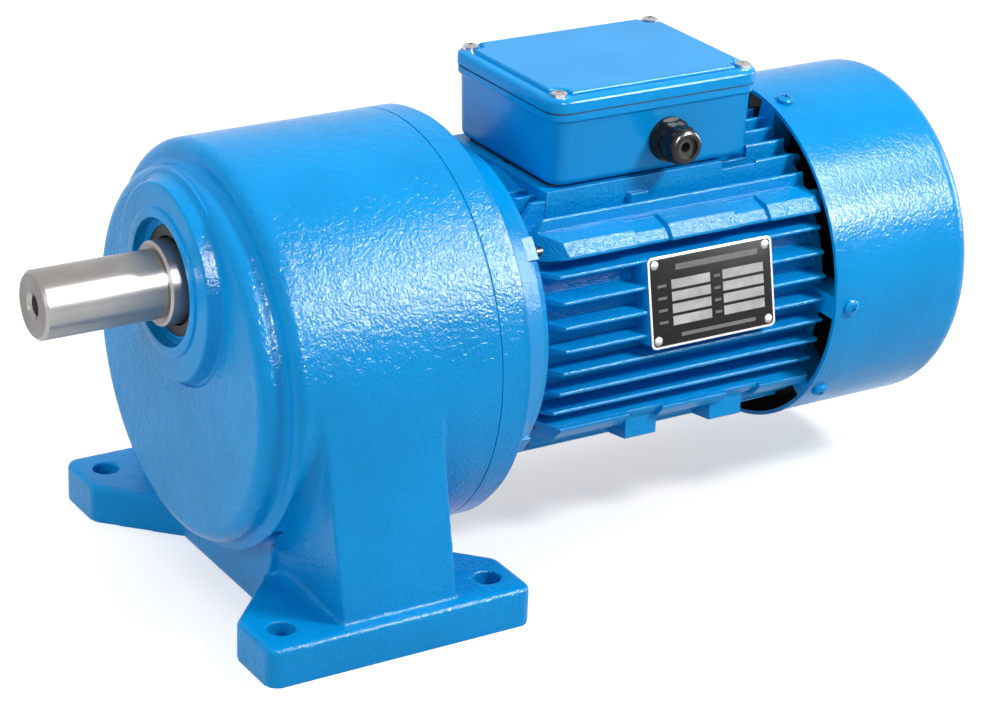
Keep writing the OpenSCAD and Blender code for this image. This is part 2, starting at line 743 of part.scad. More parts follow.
module rear_end_shield() {
  color(paint) difference() {
    union() {
      rod(zm, shield_x, shield_x + 8, core_r + 2);
      for (a = [lug_turn, -lug_turn, 180 - lug_turn, 180 + lug_turn])
        turn(zm, a + 90) rod(zm + lug_r, shield_x, shield_x + 8, 7);
      tube(zm, shield_x - 4, shield_x, stator_r - 6, stator_r);
      rod(zm, shield_x, shield_x + 20, 38);
      intersection() {
        rod(zm, shield_x, shield_x + 20, cowl_r - cowl_t);
        for (a = cowl_screw_turns) turn(zm, a)
          translate([shield_x, -8, zm + core_r - 6]) cube([20, 16, cowl_r - core_r + 6]);
      }
      around(zm, 6, 30) translate([shield_x, -2.5, zm + 30]) cube([16, 5, 64]);
    }
    rod(zm, shield_x - 5, shield_x + 21, 17);
    rod(zm, shield_x - 5, shield_x + 19, 31);
    for (a = cowl_screw_turns) turn(zm, a)
      translate([cowl_screw_x, 0, zm + screw_root]) cylinder(h = cowl_r - screw_root, r = 2.5);
    for (a = [lug_turn, -lug_turn, 180 - lug_turn, 180 + lug_turn]) turn(zm, a + 90) {
      rod(zm + lug_r, shield_x - 1, shield_x + 9, 3);
      rod(zm + lug_r, shield_x + 8, shield_x + 21, 5.4);
    }
  }
}
module fan() {
  x = shield_x + 30;
  color(dark) difference() {
    union() {
      rod(zm, x, x + 30, 24);
      rod(zm, x, x + 3, fan_r);
      around(zm, fan_blades) translate([x, -1.5, zm + 20]) cube([30, 3, fan_r - 21]);
    }
    rod(zm, x - 1, x + 31, 12);
  }
}
module fan_circlip() {
  color(dark) tube(zm, shield_x + 60, shield_x + 61.5, 12, 16);
}
module fan_cowl() {
  r = cowl_r;
  e = cowl_edge;
  color(paint) difference() {
    turned(zm) {
      difference() {
        union() {
          translate([0, cowl_x]) square([r, cowl_rear - e - cowl_x]);
          translate([0, cowl_rear - e - 1]) square([r - e, e + 1]);
          translate([r - e, cowl_rear - e]) circle(e);
        }
        translate([0, cowl_x - 1]) square([r - cowl_t, cowl_rear - e - cowl_x + 1]);
        translate([0, cowl_rear - e - 1]) square([r - e, e + 1 - cowl_t]);
        translate([r - e, cowl_rear - e]) circle(e - cowl_t);
      }
      // rolled front edge
      translate([r - cowl_t, cowl_x]) square([cowl_t + 0.8, 3]);
    }
    // air inlet: slots between rings, interrupted by six spokes
    difference() {
      for (q = [30:13:95]) tube(zm, cowl_rear - cowl_t - 1, cowl_rear + 1, q, q + 8);
      around(zm, 6) translate([cowl_rear - 8, -3, zm]) cube([12, 6, r]);
    }
    for (a = cowl_screw_turns) turn(zm, a)
      translate([cowl_screw_x, 0, zm + r - 8]) cylinder(h = 12, r = 2.5);
  }
}
module cowl_screws() {
  color(paint) for (a = cowl_screw_turns) turn(zm, a) {
    translate([cowl_screw_x, 0, zm + screw_root]) cylinder(h = cowl_r + 1 - screw_root, r = 2.5);
    difference() {
      translate([cowl_screw_x, 0, zm + cowl_r]) intersection() {
        translate([0, 0, 4.2 - 9]) sphere(9);
        translate([0, 0, -0.5]) cylinder(h = 6, r = 5.6);
      }
      rod(zm, cowl_screw_x - 8, cowl_screw_x + 8, cowl_r);
      for (t = [45, 135]) translate([cowl_screw_x, 0, zm + cowl_r + 3.7])
        rotate(t) cube([6, 1.3, 2.4], center = true);
    }
  }
}

// ---------- terminal box ----------
module box_gasket() {
  color(dark) difference() {
    translate([pedestal_x + pedestal_len / 2, 0, pedestal_z]) linear_extrude(box_z - pedestal_z)
      round_rect(pedestal_len - 3, pedestal_w - 3, 6);
    translate([frame_x + 40, 0, pedestal_z - 1]) cylinder(h = 5, r = 9);
  }
}
module lid_corners() {
  for (x = [-1, 1], y = [-1, 1]) translate([box_x + x * screw_x, y * screw_y, 0]) children();
}
module terminal_box() {
  color(paint) difference() {
    union() {
      difference() {
        union() {
          slab(lid_len - 5, lid_w - 5, box_corner, box_z, lid_z - 6);
          slab(lid_len - 1, lid_w - 1, box_corner + 1, lid_z - 6, lid_z - 1);
        }
        slab(lid_len - 5 - 2 * box_wall, lid_w - 5 - 2 * box_wall, box_corner - 4,
          box_z + box_wall, lid_z + 1);
      }
      // corner pillars for the lid screws
      lid_corners() translate([0, 0, box_z + 1]) cylinder(h = lid_z - box_z - 2, r = 6);
    }
    lid_corners() translate([0, 0, lid_z - 20]) cylinder(h = 30, r = 2.5);
    translate([frame_x + 40, 0, box_z - 1]) cylinder(h = 8, r = 9);
    translate([gland_x, -lid_w / 2 + 10, gland_z]) rotate([90, 0, 0]) cylinder(h = 12, r = 10);
  }
}
module lid_gasket() {
  color(dark) difference() {
    slab(lid_len - 3, lid_w - 3, box_corner, lid_z - 1, lid_z);
    slab(lid_len - 38, lid_w - 38, 4, lid_z - 2, lid_z + 1);
    lid_corners() translate([0, 0, lid_z - 2]) cylinder(h = 3, r = 2.5);
  }
}
module terminal_lid() {
  color(paint) difference() {
    union() {
      slab(lid_len, lid_w, box_corner + 1, lid_z, lid_z + 7.5);
      slab(lid_len - 1.6, lid_w - 1.6, box_corner + 0.2, lid_z + 7.5, lid_z + 8.5);
      slab(lid_len - 4, lid_w - 4, box_corner - 1, lid_z + 8.5, lid_z + 9.3);
      difference() {
        slab(lid_len - 15, lid_w - 15, 5, lid_z + 9.3, lid_z + 12);
        lid_corners() translate([0, 0, lid_z]) cylinder(h = 20, r = 9);
      }
    }
    slab(lid_len - 18, lid_w - 38, 4, lid_z - 1, lid_z + 6);
    slab(lid_len - 38, lid_w - 18, 4, lid_z - 1, lid_z + 6);
    lid_corners() translate([0, 0, lid_z - 1]) cylinder(h = 12, r = 2.5);
  }
}
module lid_screws() {
  color(steel) lid_corners() translate([0, 0, lid_z]) {
    translate([0, 0, -18]) cylinder(h = 27.5, r = 2.5);
    difference() {
      union() {
        translate([0, 0, 9.3]) cylinder(h = 2.4, r = 5.4);
        intersection() {
          translate([0, 0, 13.2 - 11]) sphere(11);
          translate([0, 0, 11]) cylinder(h = 3, r = 5.4);
        }
      }
      for (a = [45, 135]) translate([0, 0, 12.5]) rotate(a) cube([6, 1.3, 2.4], center = true);
    }
  }
}
// pieces of the cable gland, drawn upright and laid over to -Y
module on_gland() {
  translate([gland_x, -lid_w / 2 + 2.5, gland_z]) rotate([90, 0, 0]) children();
}
module gland_body() {
  color(dark) on_gland() difference() {
    union() {
      translate([0, 0, -12]) cylinder(h = 13, r = 10);
      cylinder(h = 2, r = 15.2);
      intersection() {
        translate([0, 0, 2]) cylinder(h = 6, r = 15.6, $fn = 6);
        cylinder(h = 10, r = 15);
      }
      translate([0, 0, 7]) cylinder(h = 7, r = 9.5);
    }
    translate([0, 0, -13]) cylinder(h = 28, r = 7.5);
  }
}
module gland_nut() {
  color(dark) on_gland() difference() {
    union() {
      intersection() {
        translate([0, 0, 8.3]) cylinder(h = 9, r = 14, $fn = 6);
        translate([0, 0, 8.3]) cylinder(h = 9, r = 13.4);
      }
      translate([0, 0, 8.3]) rotate_extrude() {
        square([12.4, 11]);
        translate([8.4, 11]) circle(4);
        square([8.4, 15]);
      }
    }
    translate([0, 0, 8]) cylinder(h = 9, r = 9.5);
    translate([0, 0, 8]) cylinder(h = 20, r = 7.6);
  }
}
module gland_seal() {
  color(dark) on_gland() difference() {
    union() {
      translate([0, 0, 8]) cylinder(h = 6, r = 7.5);
      translate([0, 0, 14]) cylinder(h = 6.5, r = 7.6);
    }
    translate([0, 0, 7]) cylinder(h = 20, r = 3.6);
  }
}
module gland_locknut() {
  color(dark) on_gland() translate([0, 0, -box_wall]) rotate([180, 0, 0]) difference() {
    cylinder(h = 5, r = 15, $fn = 6);
    translate([0, 0, -1]) cylinder(h = 8, r = 10);
  }
}
block_x = box_x + 16;
block_z = box_z + box_wall;
module terminal_block() {
  color(dark) translate([block_x, 0, block_z]) difference() {
    union() {
      linear_extrude(12) round_rect(86, 56, 5);
      both_sides() for (x = [0, 24]) translate([x - 1, 19, 12]) cube([2, 9, 6]);
    }
    for (x = [-12, 12, 36], y = [-14, 14]) translate([x, y, 3]) cylinder(h = 20, r = 2.5);
  }
}
module stud_spots() {
  for (x = [-12, 12, 36], y = [-14, 14]) translate([block_x + x, y, block_z]) children();
}
module terminal_studs() {
  color(copper) stud_spots() {
    translate([0, 0, 3]) cylinder(h = 27, r = 2.5);
    translate([0, 0, 13.5]) cylinder(h = 4, r = 4.6, $fn = 6);
  }
}
module terminal_links() {
  color(copper) for (y = [-14, 14]) translate([block_x + 12, y, block_z + 12]) difference() {
    linear_extrude(1.5) round_rect(60, 9, 4.4);
    for (x = [-24, 0, 24]) translate([x, 0, -1]) cylinder(h = 4, r = 2.5);
  }
}

// ---------- nameplate ----------
module on_plate() {
  turn(zm, 90 - plate_turn) translate([plate_x, 0, zm + plate_r0]) children();
}
module nameplate() {
  color(dark) on_plate() difference() {
    linear_extrude(1.2) round_rect(name_len, name_h, 4);
    for (x = [-1, 1], y = [-1, 1])
      translate([x * (name_len / 2 - 5.5), y * (name_h / 2 - 5.5), -1]) cylinder(h = 4, r = 1.5);
  }
}
module nameplate_rivets() {
  color(steel) on_plate() for (x = [-1, 1], y = [-1, 1])
    translate([x * (name_len / 2 - 5.5), y * (name_h / 2 - 5.5), 0]) {
      translate([0, 0, -3.5]) cylinder(h = 5, r = 1.5);
      intersection() {
        translate([0, 0, 2.8 - 4]) sphere(4);
        translate([0, 0, 1.2]) cylinder(h = 3, r = 3.4);
      }
    }
}

gear_casing();
output_oil_seal();
output_bearing_outers();
output_bearing_balls();
cycloid_ring();
ring_pins();
ring_rollers();
ring_cover();
cover_screws();
cover_bearing_outer();
cover_bearing_balls();
input_adapter();
adapter_bolts();
motor_oil_seal();
motor_flange();
flange_bolts();
motor_bearing_outers();
motor_bearing_balls();
motor_frame();
tie_bolts();
stator_core();
stator_windings();
rear_end_shield();
fan_cowl();
cowl_screws();
box_gasket();
terminal_box();
lid_gasket();
terminal_lid();
lid_screws();
gland_body();
gland_nut();
gland_seal();
gland_locknut();
terminal_block();
terminal_studs();
terminal_links();
nameplate();
nameplate_rivets();
output_shaft();
output_pins();
output_rollers();
output_bearing_inners();
pilot_bush();
cycloid_disc_a();
cycloid_disc_b();
eccentric_shaft();
eccentric_rollers();
input_wheel();
wheel_circlip();
cover_bearing_inner();
motor_shaft();
motor_pinion();
rotor_core();
rotor_cage();
motor_bearing_inners();
fan();
fan_circlip();
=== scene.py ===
import math

import bmesh
import bpy
import numpy as np
from bpy.props import (FloatProperty, FloatVectorProperty, IntProperty, PointerProperty)
from mathutils import Matrix, Vector


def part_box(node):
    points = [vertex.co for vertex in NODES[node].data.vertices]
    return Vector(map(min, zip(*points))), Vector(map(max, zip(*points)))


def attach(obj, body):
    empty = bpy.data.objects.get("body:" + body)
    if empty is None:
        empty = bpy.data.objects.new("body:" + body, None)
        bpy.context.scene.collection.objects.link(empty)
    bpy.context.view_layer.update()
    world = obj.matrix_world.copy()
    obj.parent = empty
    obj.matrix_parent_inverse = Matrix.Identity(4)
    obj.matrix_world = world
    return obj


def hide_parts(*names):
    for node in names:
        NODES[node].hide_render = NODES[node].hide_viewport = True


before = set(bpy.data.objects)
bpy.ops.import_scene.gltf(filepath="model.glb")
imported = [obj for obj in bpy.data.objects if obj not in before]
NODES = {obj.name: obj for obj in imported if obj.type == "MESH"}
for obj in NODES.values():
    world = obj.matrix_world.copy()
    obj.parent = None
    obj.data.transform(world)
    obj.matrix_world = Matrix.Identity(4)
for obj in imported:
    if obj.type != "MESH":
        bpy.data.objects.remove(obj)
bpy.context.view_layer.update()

bl_info = {
    "name": "Offset cycloidal gearmotor",
    "version": (1, 0, 0),
    "blender": (4, 5, 0),
    "location": "View3D > Sidebar > Gearmotor",
    "description": "Cast, turned and moulded finishes for a foot mounted cycloidal gearmotor",
    "category": "Object",
}

MM = 0.001
# most triangles in one piece, so that it is exported whole
FACE_LIMIT = 190000
# specular level of the enamel: a low one keeps the deep blue from going grey
GLOSS = 0.10
# the same on the barrel between the fins of the motor frame, kept low as painted shade there, and
# that barrel's radius
BARREL_GLOSS = 0.015
FRAME_BARREL = 0.092
# near-black painted shade on the faces inside the fan cowl
PAINTED_SHADE_INSIDE = (0.004, 0.004, 0.005)


# ---------- settings ----------
def colour(name, default, note):
    return FloatVectorProperty(name=name, description=note, default=default, size=3,
                               min=0.0, max=1.0, subtype="COLOR")


def length(name, default, note, lowest=0.0, highest=1.0):
    return FloatProperty(name=name, description=note, default=default, min=lowest,
                         max=highest, unit="LENGTH", precision=4)


def share(name, default, note, highest=1.0):
    return FloatProperty(name=name, description=note, default=default, min=0.0,
                         max=highest, subtype="FACTOR")


def power(name, default, note):
    return FloatProperty(name=name, description=note, default=default, min=0.0,
                         max=500.0, unit="POWER")


class EnamelSettings(bpy.types.PropertyGroup):
    blue: colour("Enamel", (0.001, 0.26, 0.63), "Colour of the gloss enamel")
    gloss_roughness: share("Gloss roughness", 0.20, "Roughness of the enamel on cast faces")
    peel_size: length("Peel size", 0.0023, "Distance between the bumps of the cast skin",
                      0.0005, 0.02)
    peel_depth: length("Peel depth", 0.0005, "Height of the bumps of the cast skin",
                       0.0, 0.002)


class MetalSettings(bpy.types.PropertyGroup):
    steel: colour("Turned steel", (0.36, 0.345, 0.33), "Colour of the turned shaft")
    zinc: colour("Zinc plate", (0.50, 0.50, 0.51), "Colour of the lid screws and rivets")
    black_oxide: colour("Black oxide", (0.03, 0.03, 0.032), "Colour of the inner screws")


class PolymerSettings(bpy.types.PropertyGroup):
    gland_black: colour("Gland black", (0.005, 0.005, 0.006), "Colour of the cable gland")
    rubber_black: colour("Rubber black", (0.009, 0.009, 0.009), "Colour of seals and gaskets")


class CastingSettings(bpy.types.PropertyGroup):
    voxel: length("Casting voxel", 0.00115, "Mesh size of the cast casing", 0.0008, 0.004)
    rounding: IntProperty(name="Rounding passes", default=5, min=0, max=40,
                          description="How far edges and corners of the casting are rounded")
    crispness: share("Front crispness", 0.35,
                     "How much of the rounding the front plate and boss are spared")
    strip: length("Leg strip", 0.008, "Width of the flat front face left at the edge of a leg",
                  0.002, 0.02)


class BoxSettings(bpy.types.PropertyGroup):
    draft: length("Draft", 0.0010, "How much the box narrows towards its floor", 0.0, 0.004)
    floor_radius: length("Floor radius", 0.006, "Rounding between the box wall and its floor",
                         0.001, 0.01)
    panel_bevel: length("Panel bevel", 0.0011, "Bevel round the raised panel of the lid",
                        0.0003, 0.003)


class PlateSettings(bpy.types.PropertyGroup):
    rim: length("Rim", 0.0016, "Width of the bare metal rim of the nameplate", 0.0005, 0.004)
    print_height: length("Print height", 0.00006, "How far the print stands off the plate",
                         0.00002, 0.0005)


class StageSettings(bpy.types.PropertyGroup):
    key_power: power("Key light", 26.5, "Power of the soft box beside the gearmotor")
    top_power: power("Top light", 30.0, "Power of the soft light overhead")
    front_power: power("Front light", 10.0, "Power of the soft light before the shaft end")
    gleam_power: power("Gleam", 175.0, "Power of the boxes that only gloss faces mirror")
    sky: share("Sky", 0.32, "Strength of the even light from all round", 2.0)
    lens: FloatProperty(name="Lens", default=112.4, min=20.0, max=300.0,
                        description="Focal length in millimetres")


class GearmotorSettings(bpy.types.PropertyGroup):
    enamel: PointerProperty(type=EnamelSettings)
    metal: PointerProperty(type=MetalSettings)
    polymer: PointerProperty(type=PolymerSettings)
    casting: PointerProperty(type=CastingSettings)
    box: PointerProperty(type=BoxSettings)
    plate: PointerProperty(type=PlateSettings)
    stage: PointerProperty(type=StageSettings)


# ---------- finishes ----------
class Finish:
    """A material with short calls for the nodes that the finishes share."""

    def __init__(self, name):
        self.material = bpy.data.materials.new(name)
        self.material.use_nodes = True
        self.tree = self.material.node_tree
        self.shader = self.tree.nodes["Principled BSDF"]
        self.place = self.tree.nodes.new("ShaderNodeTexCoord").outputs["Object"]

    def set(self, **values):
        for key, value in values.items():
            socket = self.shader.inputs[key.replace("_", " ").title().replace("Ior", "IOR")]
            socket.default_value = value
        return self

    def link(self, out, socket):
        self.tree.links.new(out, socket)
        return self

    def stretched(self, scale):
        node = self.tree.nodes.new("ShaderNodeMapping")
        node.inputs["Scale"].default_value = scale
        self.tree.links.new(self.place, node.inputs["Vector"])
        return node.outputs["Vector"]

    def noise(self, size, detail=3.0, distortion=0.0, place=None, roughness=0.5):
        node = self.tree.nodes.new("ShaderNodeTexNoise")
        node.inputs["Scale"].default_value = 1.0 / size
        node.inputs["Detail"].default_value = detail
        node.inputs["Roughness"].default_value = roughness
        node.inputs["Distortion"].default_value = distortion
        self.tree.links.new(place or self.place, node.inputs["Vector"])
        return node.outputs["Fac"]

    def span(self, value, low, high, to_low=0.0, to_high=1.0):
        node = self.tree.nodes.new("ShaderNodeMapRange")
        for key, number in (("From Min", low), ("From Max", high),
                            ("To Min", to_low), ("To Max", to_high)):
            node.inputs[key].default_value = number
        self.tree.links.new(value, node.inputs["Value"])
        return node.outputs["Result"]

    def vary(self, noise, first=0.0, last=1.0):
        """A noise spread from one value to another over the range it mostly keeps to."""
        return self.span(noise, 0.3, 0.7, first, last)

    def mix(self, fac, first, second):
        node = self.tree.nodes.new("ShaderNodeMix")
        node.data_type = "RGBA"
        self.tree.links.new(fac, node.inputs["Factor"])
        for key, value in (("A", first), ("B", second)):
            socket = [i for i in node.inputs if i.name == key and i.type == "RGBA"][0]
            if isinstance(value, (tuple, list)):
                socket.default_value = (*value[:3], 1.0)
            else:
                self.tree.links.new(value, socket)
        return [o for o in node.outputs if o.type == "RGBA"][0]

    def mottled(self, rgb, size, dark, light):
        """A colour that drifts between a darker and a lighter tone."""
        drift = self.vary(self.noise(size, 2.0))
        return self.mix(drift, scaled(rgb, dark), scaled(rgb, light))

    def maths(self, operation, a, b=0.0):
        node = self.tree.nodes.new("ShaderNodeMath")
        node.operation = operation
        for socket, value in zip(node.inputs, (a, b)):
            if isinstance(value, (int, float)):
                socket.default_value = value
            else:
                self.tree.links.new(value, socket)
        return node.outputs[0]

    def bump(self, height, depth, before=None):
        node = self.tree.nodes.new("ShaderNodeBump")
        node.inputs["Strength"].default_value = 1.0
        node.inputs["Distance"].default_value = depth
        self.tree.links.new(height, node.inputs["Height"])
        if before is not None:
            self.tree.links.new(before, node.inputs["Normal"])
        return node.outputs["Normal"]

    def soft_edge(self, radius):
        """Normal that rounds off the light on edges."""
        node = self.tree.nodes.new("ShaderNodeBevel")
        node.samples = 6
        node.inputs["Radius"].default_value = radius
        return node.outputs["Normal"]

    def facing(self, direction):
        """1 on a face that looks along a direction, 0 on one that stands across it."""
        geometry = self.tree.nodes.new("ShaderNodeNewGeometry")
        face = geometry.outputs["True Normal"]
        return self.vector("DOT_PRODUCT", face, direction).outputs["Value"]

    def vector(self, operation, first, second):
        node = self.tree.nodes.new("ShaderNodeVectorMath")
        node.operation = operation
        for socket, value in zip(node.inputs, (first, second)):
            if isinstance(value, tuple):
                socket.default_value = value
            else:
                self.tree.links.new(value, socket)
        return node

    def arm(self, axis_z):
        """From the motor axis straight out to the shaded point."""
        offset = self.vector("SUBTRACT", self.place, (0.0, 0.0, axis_z)).outputs["Vector"]
        return self.vector("MULTIPLY", offset, (0.0, 1.0, 1.0)).outputs["Vector"]

    def radius(self, axis_z):
        return self.vector("LENGTH", self.arm(axis_z), (0.0, 0.0, 0.0)).outputs["Value"]

    def outward(self, axis_z):
        """Radius of a face about the motor axis, negative where it looks inward."""
        geometry = self.tree.nodes.new("ShaderNodeNewGeometry")
        face = geometry.outputs["True Normal"]
        return self.vector("DOT_PRODUCT", face, self.arm(axis_z)).outputs["Value"]

    def colour(self, out):
        return self.link(out, self.shader.inputs["Base Color"])

    def rough(self, out):
        return self.link(out, self.shader.inputs["Roughness"])

    def normal(self, out):
        return self.link(out, self.shader.inputs["Normal"])


def scaled(rgb, k):
    return tuple(min(1.0, c * k) for c in rgb)


def enamel(name, peel, matt=1.0, edge=0.0, hollow=None, dull=None):
    """Gloss enamel on a part.

    peel is how much of the cast skin shows through and matt scales the roughness.
    edge is the radius at which light rounds the edges. hollow is the height of the
    axis that inner faces look at; these get a near-black painted shade. dull is the
    axis height and radius of a barrel where the gloss is kept low, as painted shade.
    """
    s = bpy.context.scene.gearmotor.enamel
    f = Finish(name).set(specular_ior_level=GLOSS)
    paint = f.mottled(tuple(s.blue), 0.06, 0.93, 1.07)
    if hollow is not None:
        # faces that look in towards the axis get a near-black painted shade
        paint = f.mix(f.span(f.outward(hollow), -30 * MM, -10 * MM), PAINTED_SHADE_INSIDE, paint)
    f.colour(paint)
    if dull is not None:
        # deep between the fins the gloss is cut as painted shade, so the barrel looks dark there
        axis_z, barrel = dull
        gloss = f.span(f.radius(axis_z), barrel + 1 * MM, barrel + 6 * MM, BARREL_GLOSS, GLOSS)
        f.link(gloss, f.shader.inputs["Specular IOR Level"])
    size = s.peel_size
    # broad lumps with a grain on them, and curling ridges: the level lines of a soft noise
    flow = f.noise(size * 2.2, 1.0, 0.6)
    ridges = f.maths("SINE", f.maths("MULTIPLY", flow, 15.0))
    grain = f.noise(size * 0.7, 2.0)
    lumps = f.noise(size * 5.0, 1.0)
    height = f.maths("ADD", f.maths("MULTIPLY", ridges, 0.16), f.maths("MULTIPLY", grain, 0.7))
    height = f.maths("ADD", height, lumps)
    roughness = s.gloss_roughness * matt
    f.rough(f.vary(f.noise(size * 2.0, 2.0), roughness * 0.85, roughness * 1.2))
    f.normal(f.bump(height, s.peel_depth * peel, f.soft_edge(edge) if edge else None))
    return f.material


def turned_steel(name, rgb, roughness, rings=1.2 * MM):
    """Metal turned about the X axis, with tool marks round it and painted shade on the end face.
    """
    f = Finish(name).set(metallic=1.0, anisotropic=0.8, anisotropic_rotation=0.25)
    # the tangent runs round the X axis, as the tool marks do
    round_axis = f.tree.nodes.new("ShaderNodeTangent")
    round_axis.direction_type, round_axis.axis = "RADIAL", "X"
    f.link(round_axis.outputs[0], f.shader.inputs["Tangent"])
    marks = f.noise(1.0, 2.0, place=f.stretched((1.0 / rings, 4.0, 4.0)))
    stain = f.noise(0.02, 3.0)
    side = f.mix(f.span(stain, 0.35, 0.65), scaled(rgb, 0.93), scaled(rgb, 1.05))
    # the end face, which looks along -X, gets a painted shade at half the colour
    f.colour(f.mix(f.span(f.facing((-1, 0, 0)), 0.8, 0.95), side, scaled(rgb, 0.5)))
    f.rough(f.vary(marks, roughness * 0.92, roughness * 1.1))
    f.normal(f.bump(marks, 0.0000015))
    return f.material


def plated(name, rgb, roughness, grain=0.0008):
    """Bright or blackened metal with a fine even grain."""
    f = Finish(name).set(metallic=1.0)
    spots = f.noise(grain, 2.0)
    f.colour(f.mottled(rgb, 0.01, 0.92, 1.06))
    f.rough(f.vary(spots, roughness * 0.8, roughness * 1.25))
    f.normal(f.bump(spots, 0.00002))
    return f.material


def moulded(name, rgb, roughness, grain=0.0006, depth=0.00003, shine=0.3):
    """Moulded polymer, rubber or print with a fine skin."""
    f = Finish(name).set(specular_ior_level=shine)
    skin = f.noise(grain, 2.0)
    f.colour(f.mottled(rgb, 0.012, 0.85, 1.25))
    f.rough(f.vary(skin, roughness * 0.85, roughness * 1.15))
    f.normal(f.bump(skin, depth))
    return f.material


# ---------- mesh helpers ----------
def shade(mesh, angle=32.0):
    """Smooth faces with sharp edges where faces meet at more than the angle."""
    bm = bmesh.new()
    bm.from_mesh(mesh)
    for face in bm.faces:
        face.smooth = True
    for edge in bm.edges:
        if len(edge.link_faces) == 2:
            edge.smooth = edge.calc_face_angle(0.0) < math.radians(angle)
    bm.to_mesh(mesh)
    bm.free()
    mesh.update()


def piece(name, mesh, material, body, replaced=(), angle=32.0):
    """Puts a mesh on a body with its finish, in place of the named CAD nodes."""
    shade(mesh, angle)
    mesh.materials.append(material)
    obj = bpy.data.objects.new(name, mesh)
    bpy.context.scene.collection.objects.link(obj)
    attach(obj, body)
    if replaced:
        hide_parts(*replaced)
    return obj


def mesh_of(name, bm):
    """Closes the build of a mesh, with its faces all looking outward."""
    mesh = bpy.data.meshes.new(name)
    bmesh.ops.recalc_face_normals(bm, faces=bm.faces)
    bm.to_mesh(mesh)
    bm.free()
    return mesh


def rounded_outline(half_l, half_w, radius, steps=8):
    """Corner points of a rounded rectangle, anticlockwise."""
    points = []
    for sx, sy, start in ((1, 1, 0), (-1, 1, 90), (-1, -1, 180), (1, -1, 270)):
        for k in range(steps + 1):
            a = math.radians(start + 90.0 * k / steps)
            points.append((sx * (half_l - radius) + radius * math.cos(a),
                           sy * (half_w - radius) + radius * math.sin(a)))
    return points


def plan_of(name):
    """Middle and half lengths of a node's box, seen from above."""
    low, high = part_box(name)
    return (low.x + high.x) / 2, (low.y + high.y) / 2, (high.x - low.x) / 2, (high.y - low.y) / 2


def level_loop(plan, z, inset, radius):
    """Rounded rectangle at one height, set in from the edges of a plan."""
    cx, cy, half_l, half_w = plan
    return [(cx + x, cy + y, z)
            for x, y in rounded_outline(half_l - inset, half_w - inset, radius)]


def skin_loops(bm, loops, capped=True):
    """Joins rings of points with quads and caps the two ends."""
    rings = [[bm.verts.new(p) for p in loop] for loop in loops]
    for low, high in zip(rings, rings[1:]):
        count = len(low)
        for k in range(count):
            bm.faces.new((low[k], low[(k + 1) % count], high[(k + 1) % count], high[k]))
    if capped:
        bm.faces.new(rings[0][::-1])
        bm.faces.new(rings[-1])
    return rings


def finish_node(name, material):
    """Gives a CAD node its finish."""
    mesh = NODES[name].data
    mesh.materials.clear()
    mesh.materials.append(material)
    for polygon in mesh.polygons:
        polygon.material_index = 0


def modified(name, mesh, kind, **values):
    """Runs one modifier on a mesh and gives back the result in its place."""
    holder = bpy.data.objects.new(name, mesh)
    bpy.context.scene.collection.objects.link(holder)
    modifier = holder.modifiers.new(kind.lower(), kind)
    for key, value in values.items():
        setattr(modifier, key, value)
    graph = bpy.context.evaluated_depsgraph_get()
    result = bpy.data.meshes.new_from_object(holder.evaluated_get(graph))
    bpy.data.objects.remove(holder)
    bpy.data.meshes.remove(mesh)
    return result


def cast_copy(node, voxel, passes, held, fill):
    """A cast form of a node: remeshed evenly and rounded, apart from where held(points) is 1.

    fill(bm) adds the metal of the large hollow rounds before the remesh.
    """
    level_in, level_out, rounding = 0.5, -0.52, 0.6
    mesh = NODES[node].data.copy()
    bm = bmesh.new()
    bm.from_mesh(mesh)
    bmesh.ops.remove_doubles(bm, verts=bm.verts, dist=1e-6)
    fill(bm)
    bm.to_mesh(mesh)
    bm.free()
    fine = modified(node + "_shell", mesh, "REMESH",
                    mode="VOXEL", voxel_size=voxel, adaptivity=0.0)
    points = np.zeros(len(fine.vertices) * 3, np.float64)
    fine.vertices.foreach_get("co", points)
    points = points.reshape(-1, 3)
    edges = np.zeros(len(fine.edges) * 2, np.int64)
    fine.edges.foreach_get("vertices", edges)
    edges = edges.reshape(-1, 2)
    count = np.bincount(edges.ravel(), minlength=len(points)).astype(float)[:, None]
    free = (1.0 - held(points))[:, None]

    def pull(p, weight):
        """Moves each point towards the middle of its neighbours."""
        total = np.zeros_like(p)
        for axis in range(3):
            total[:, axis] = (np.bincount(edges[:, 0], p[edges[:, 1], axis], len(p))
                              + np.bincount(edges[:, 1], p[edges[:, 0], axis], len(p)))
        return p + weight * (total / count - p)

    # in and out again levels the steps of the voxels without shrinking the form
    for _ in range(3):
        points = pull(points, level_in)
        points = pull(points, level_out)
    for _ in range(passes):
        points = points + free * (pull(points, rounding) - points)
    fine.vertices.foreach_set("co", points.ravel())
    fine.materials.clear()
    fine.update()
    return thinned(node, fine)


def thinned(name, mesh):
    """A mesh of squares with fewer faces where it is plain, up to the limit of a piece."""
    triangles = 2 * len(mesh.polygons)
    if triangles <= FACE_LIMIT:
        return mesh
    return modified(name + "_thin", mesh, "DECIMATE", ratio=FACE_LIMIT / triangles)


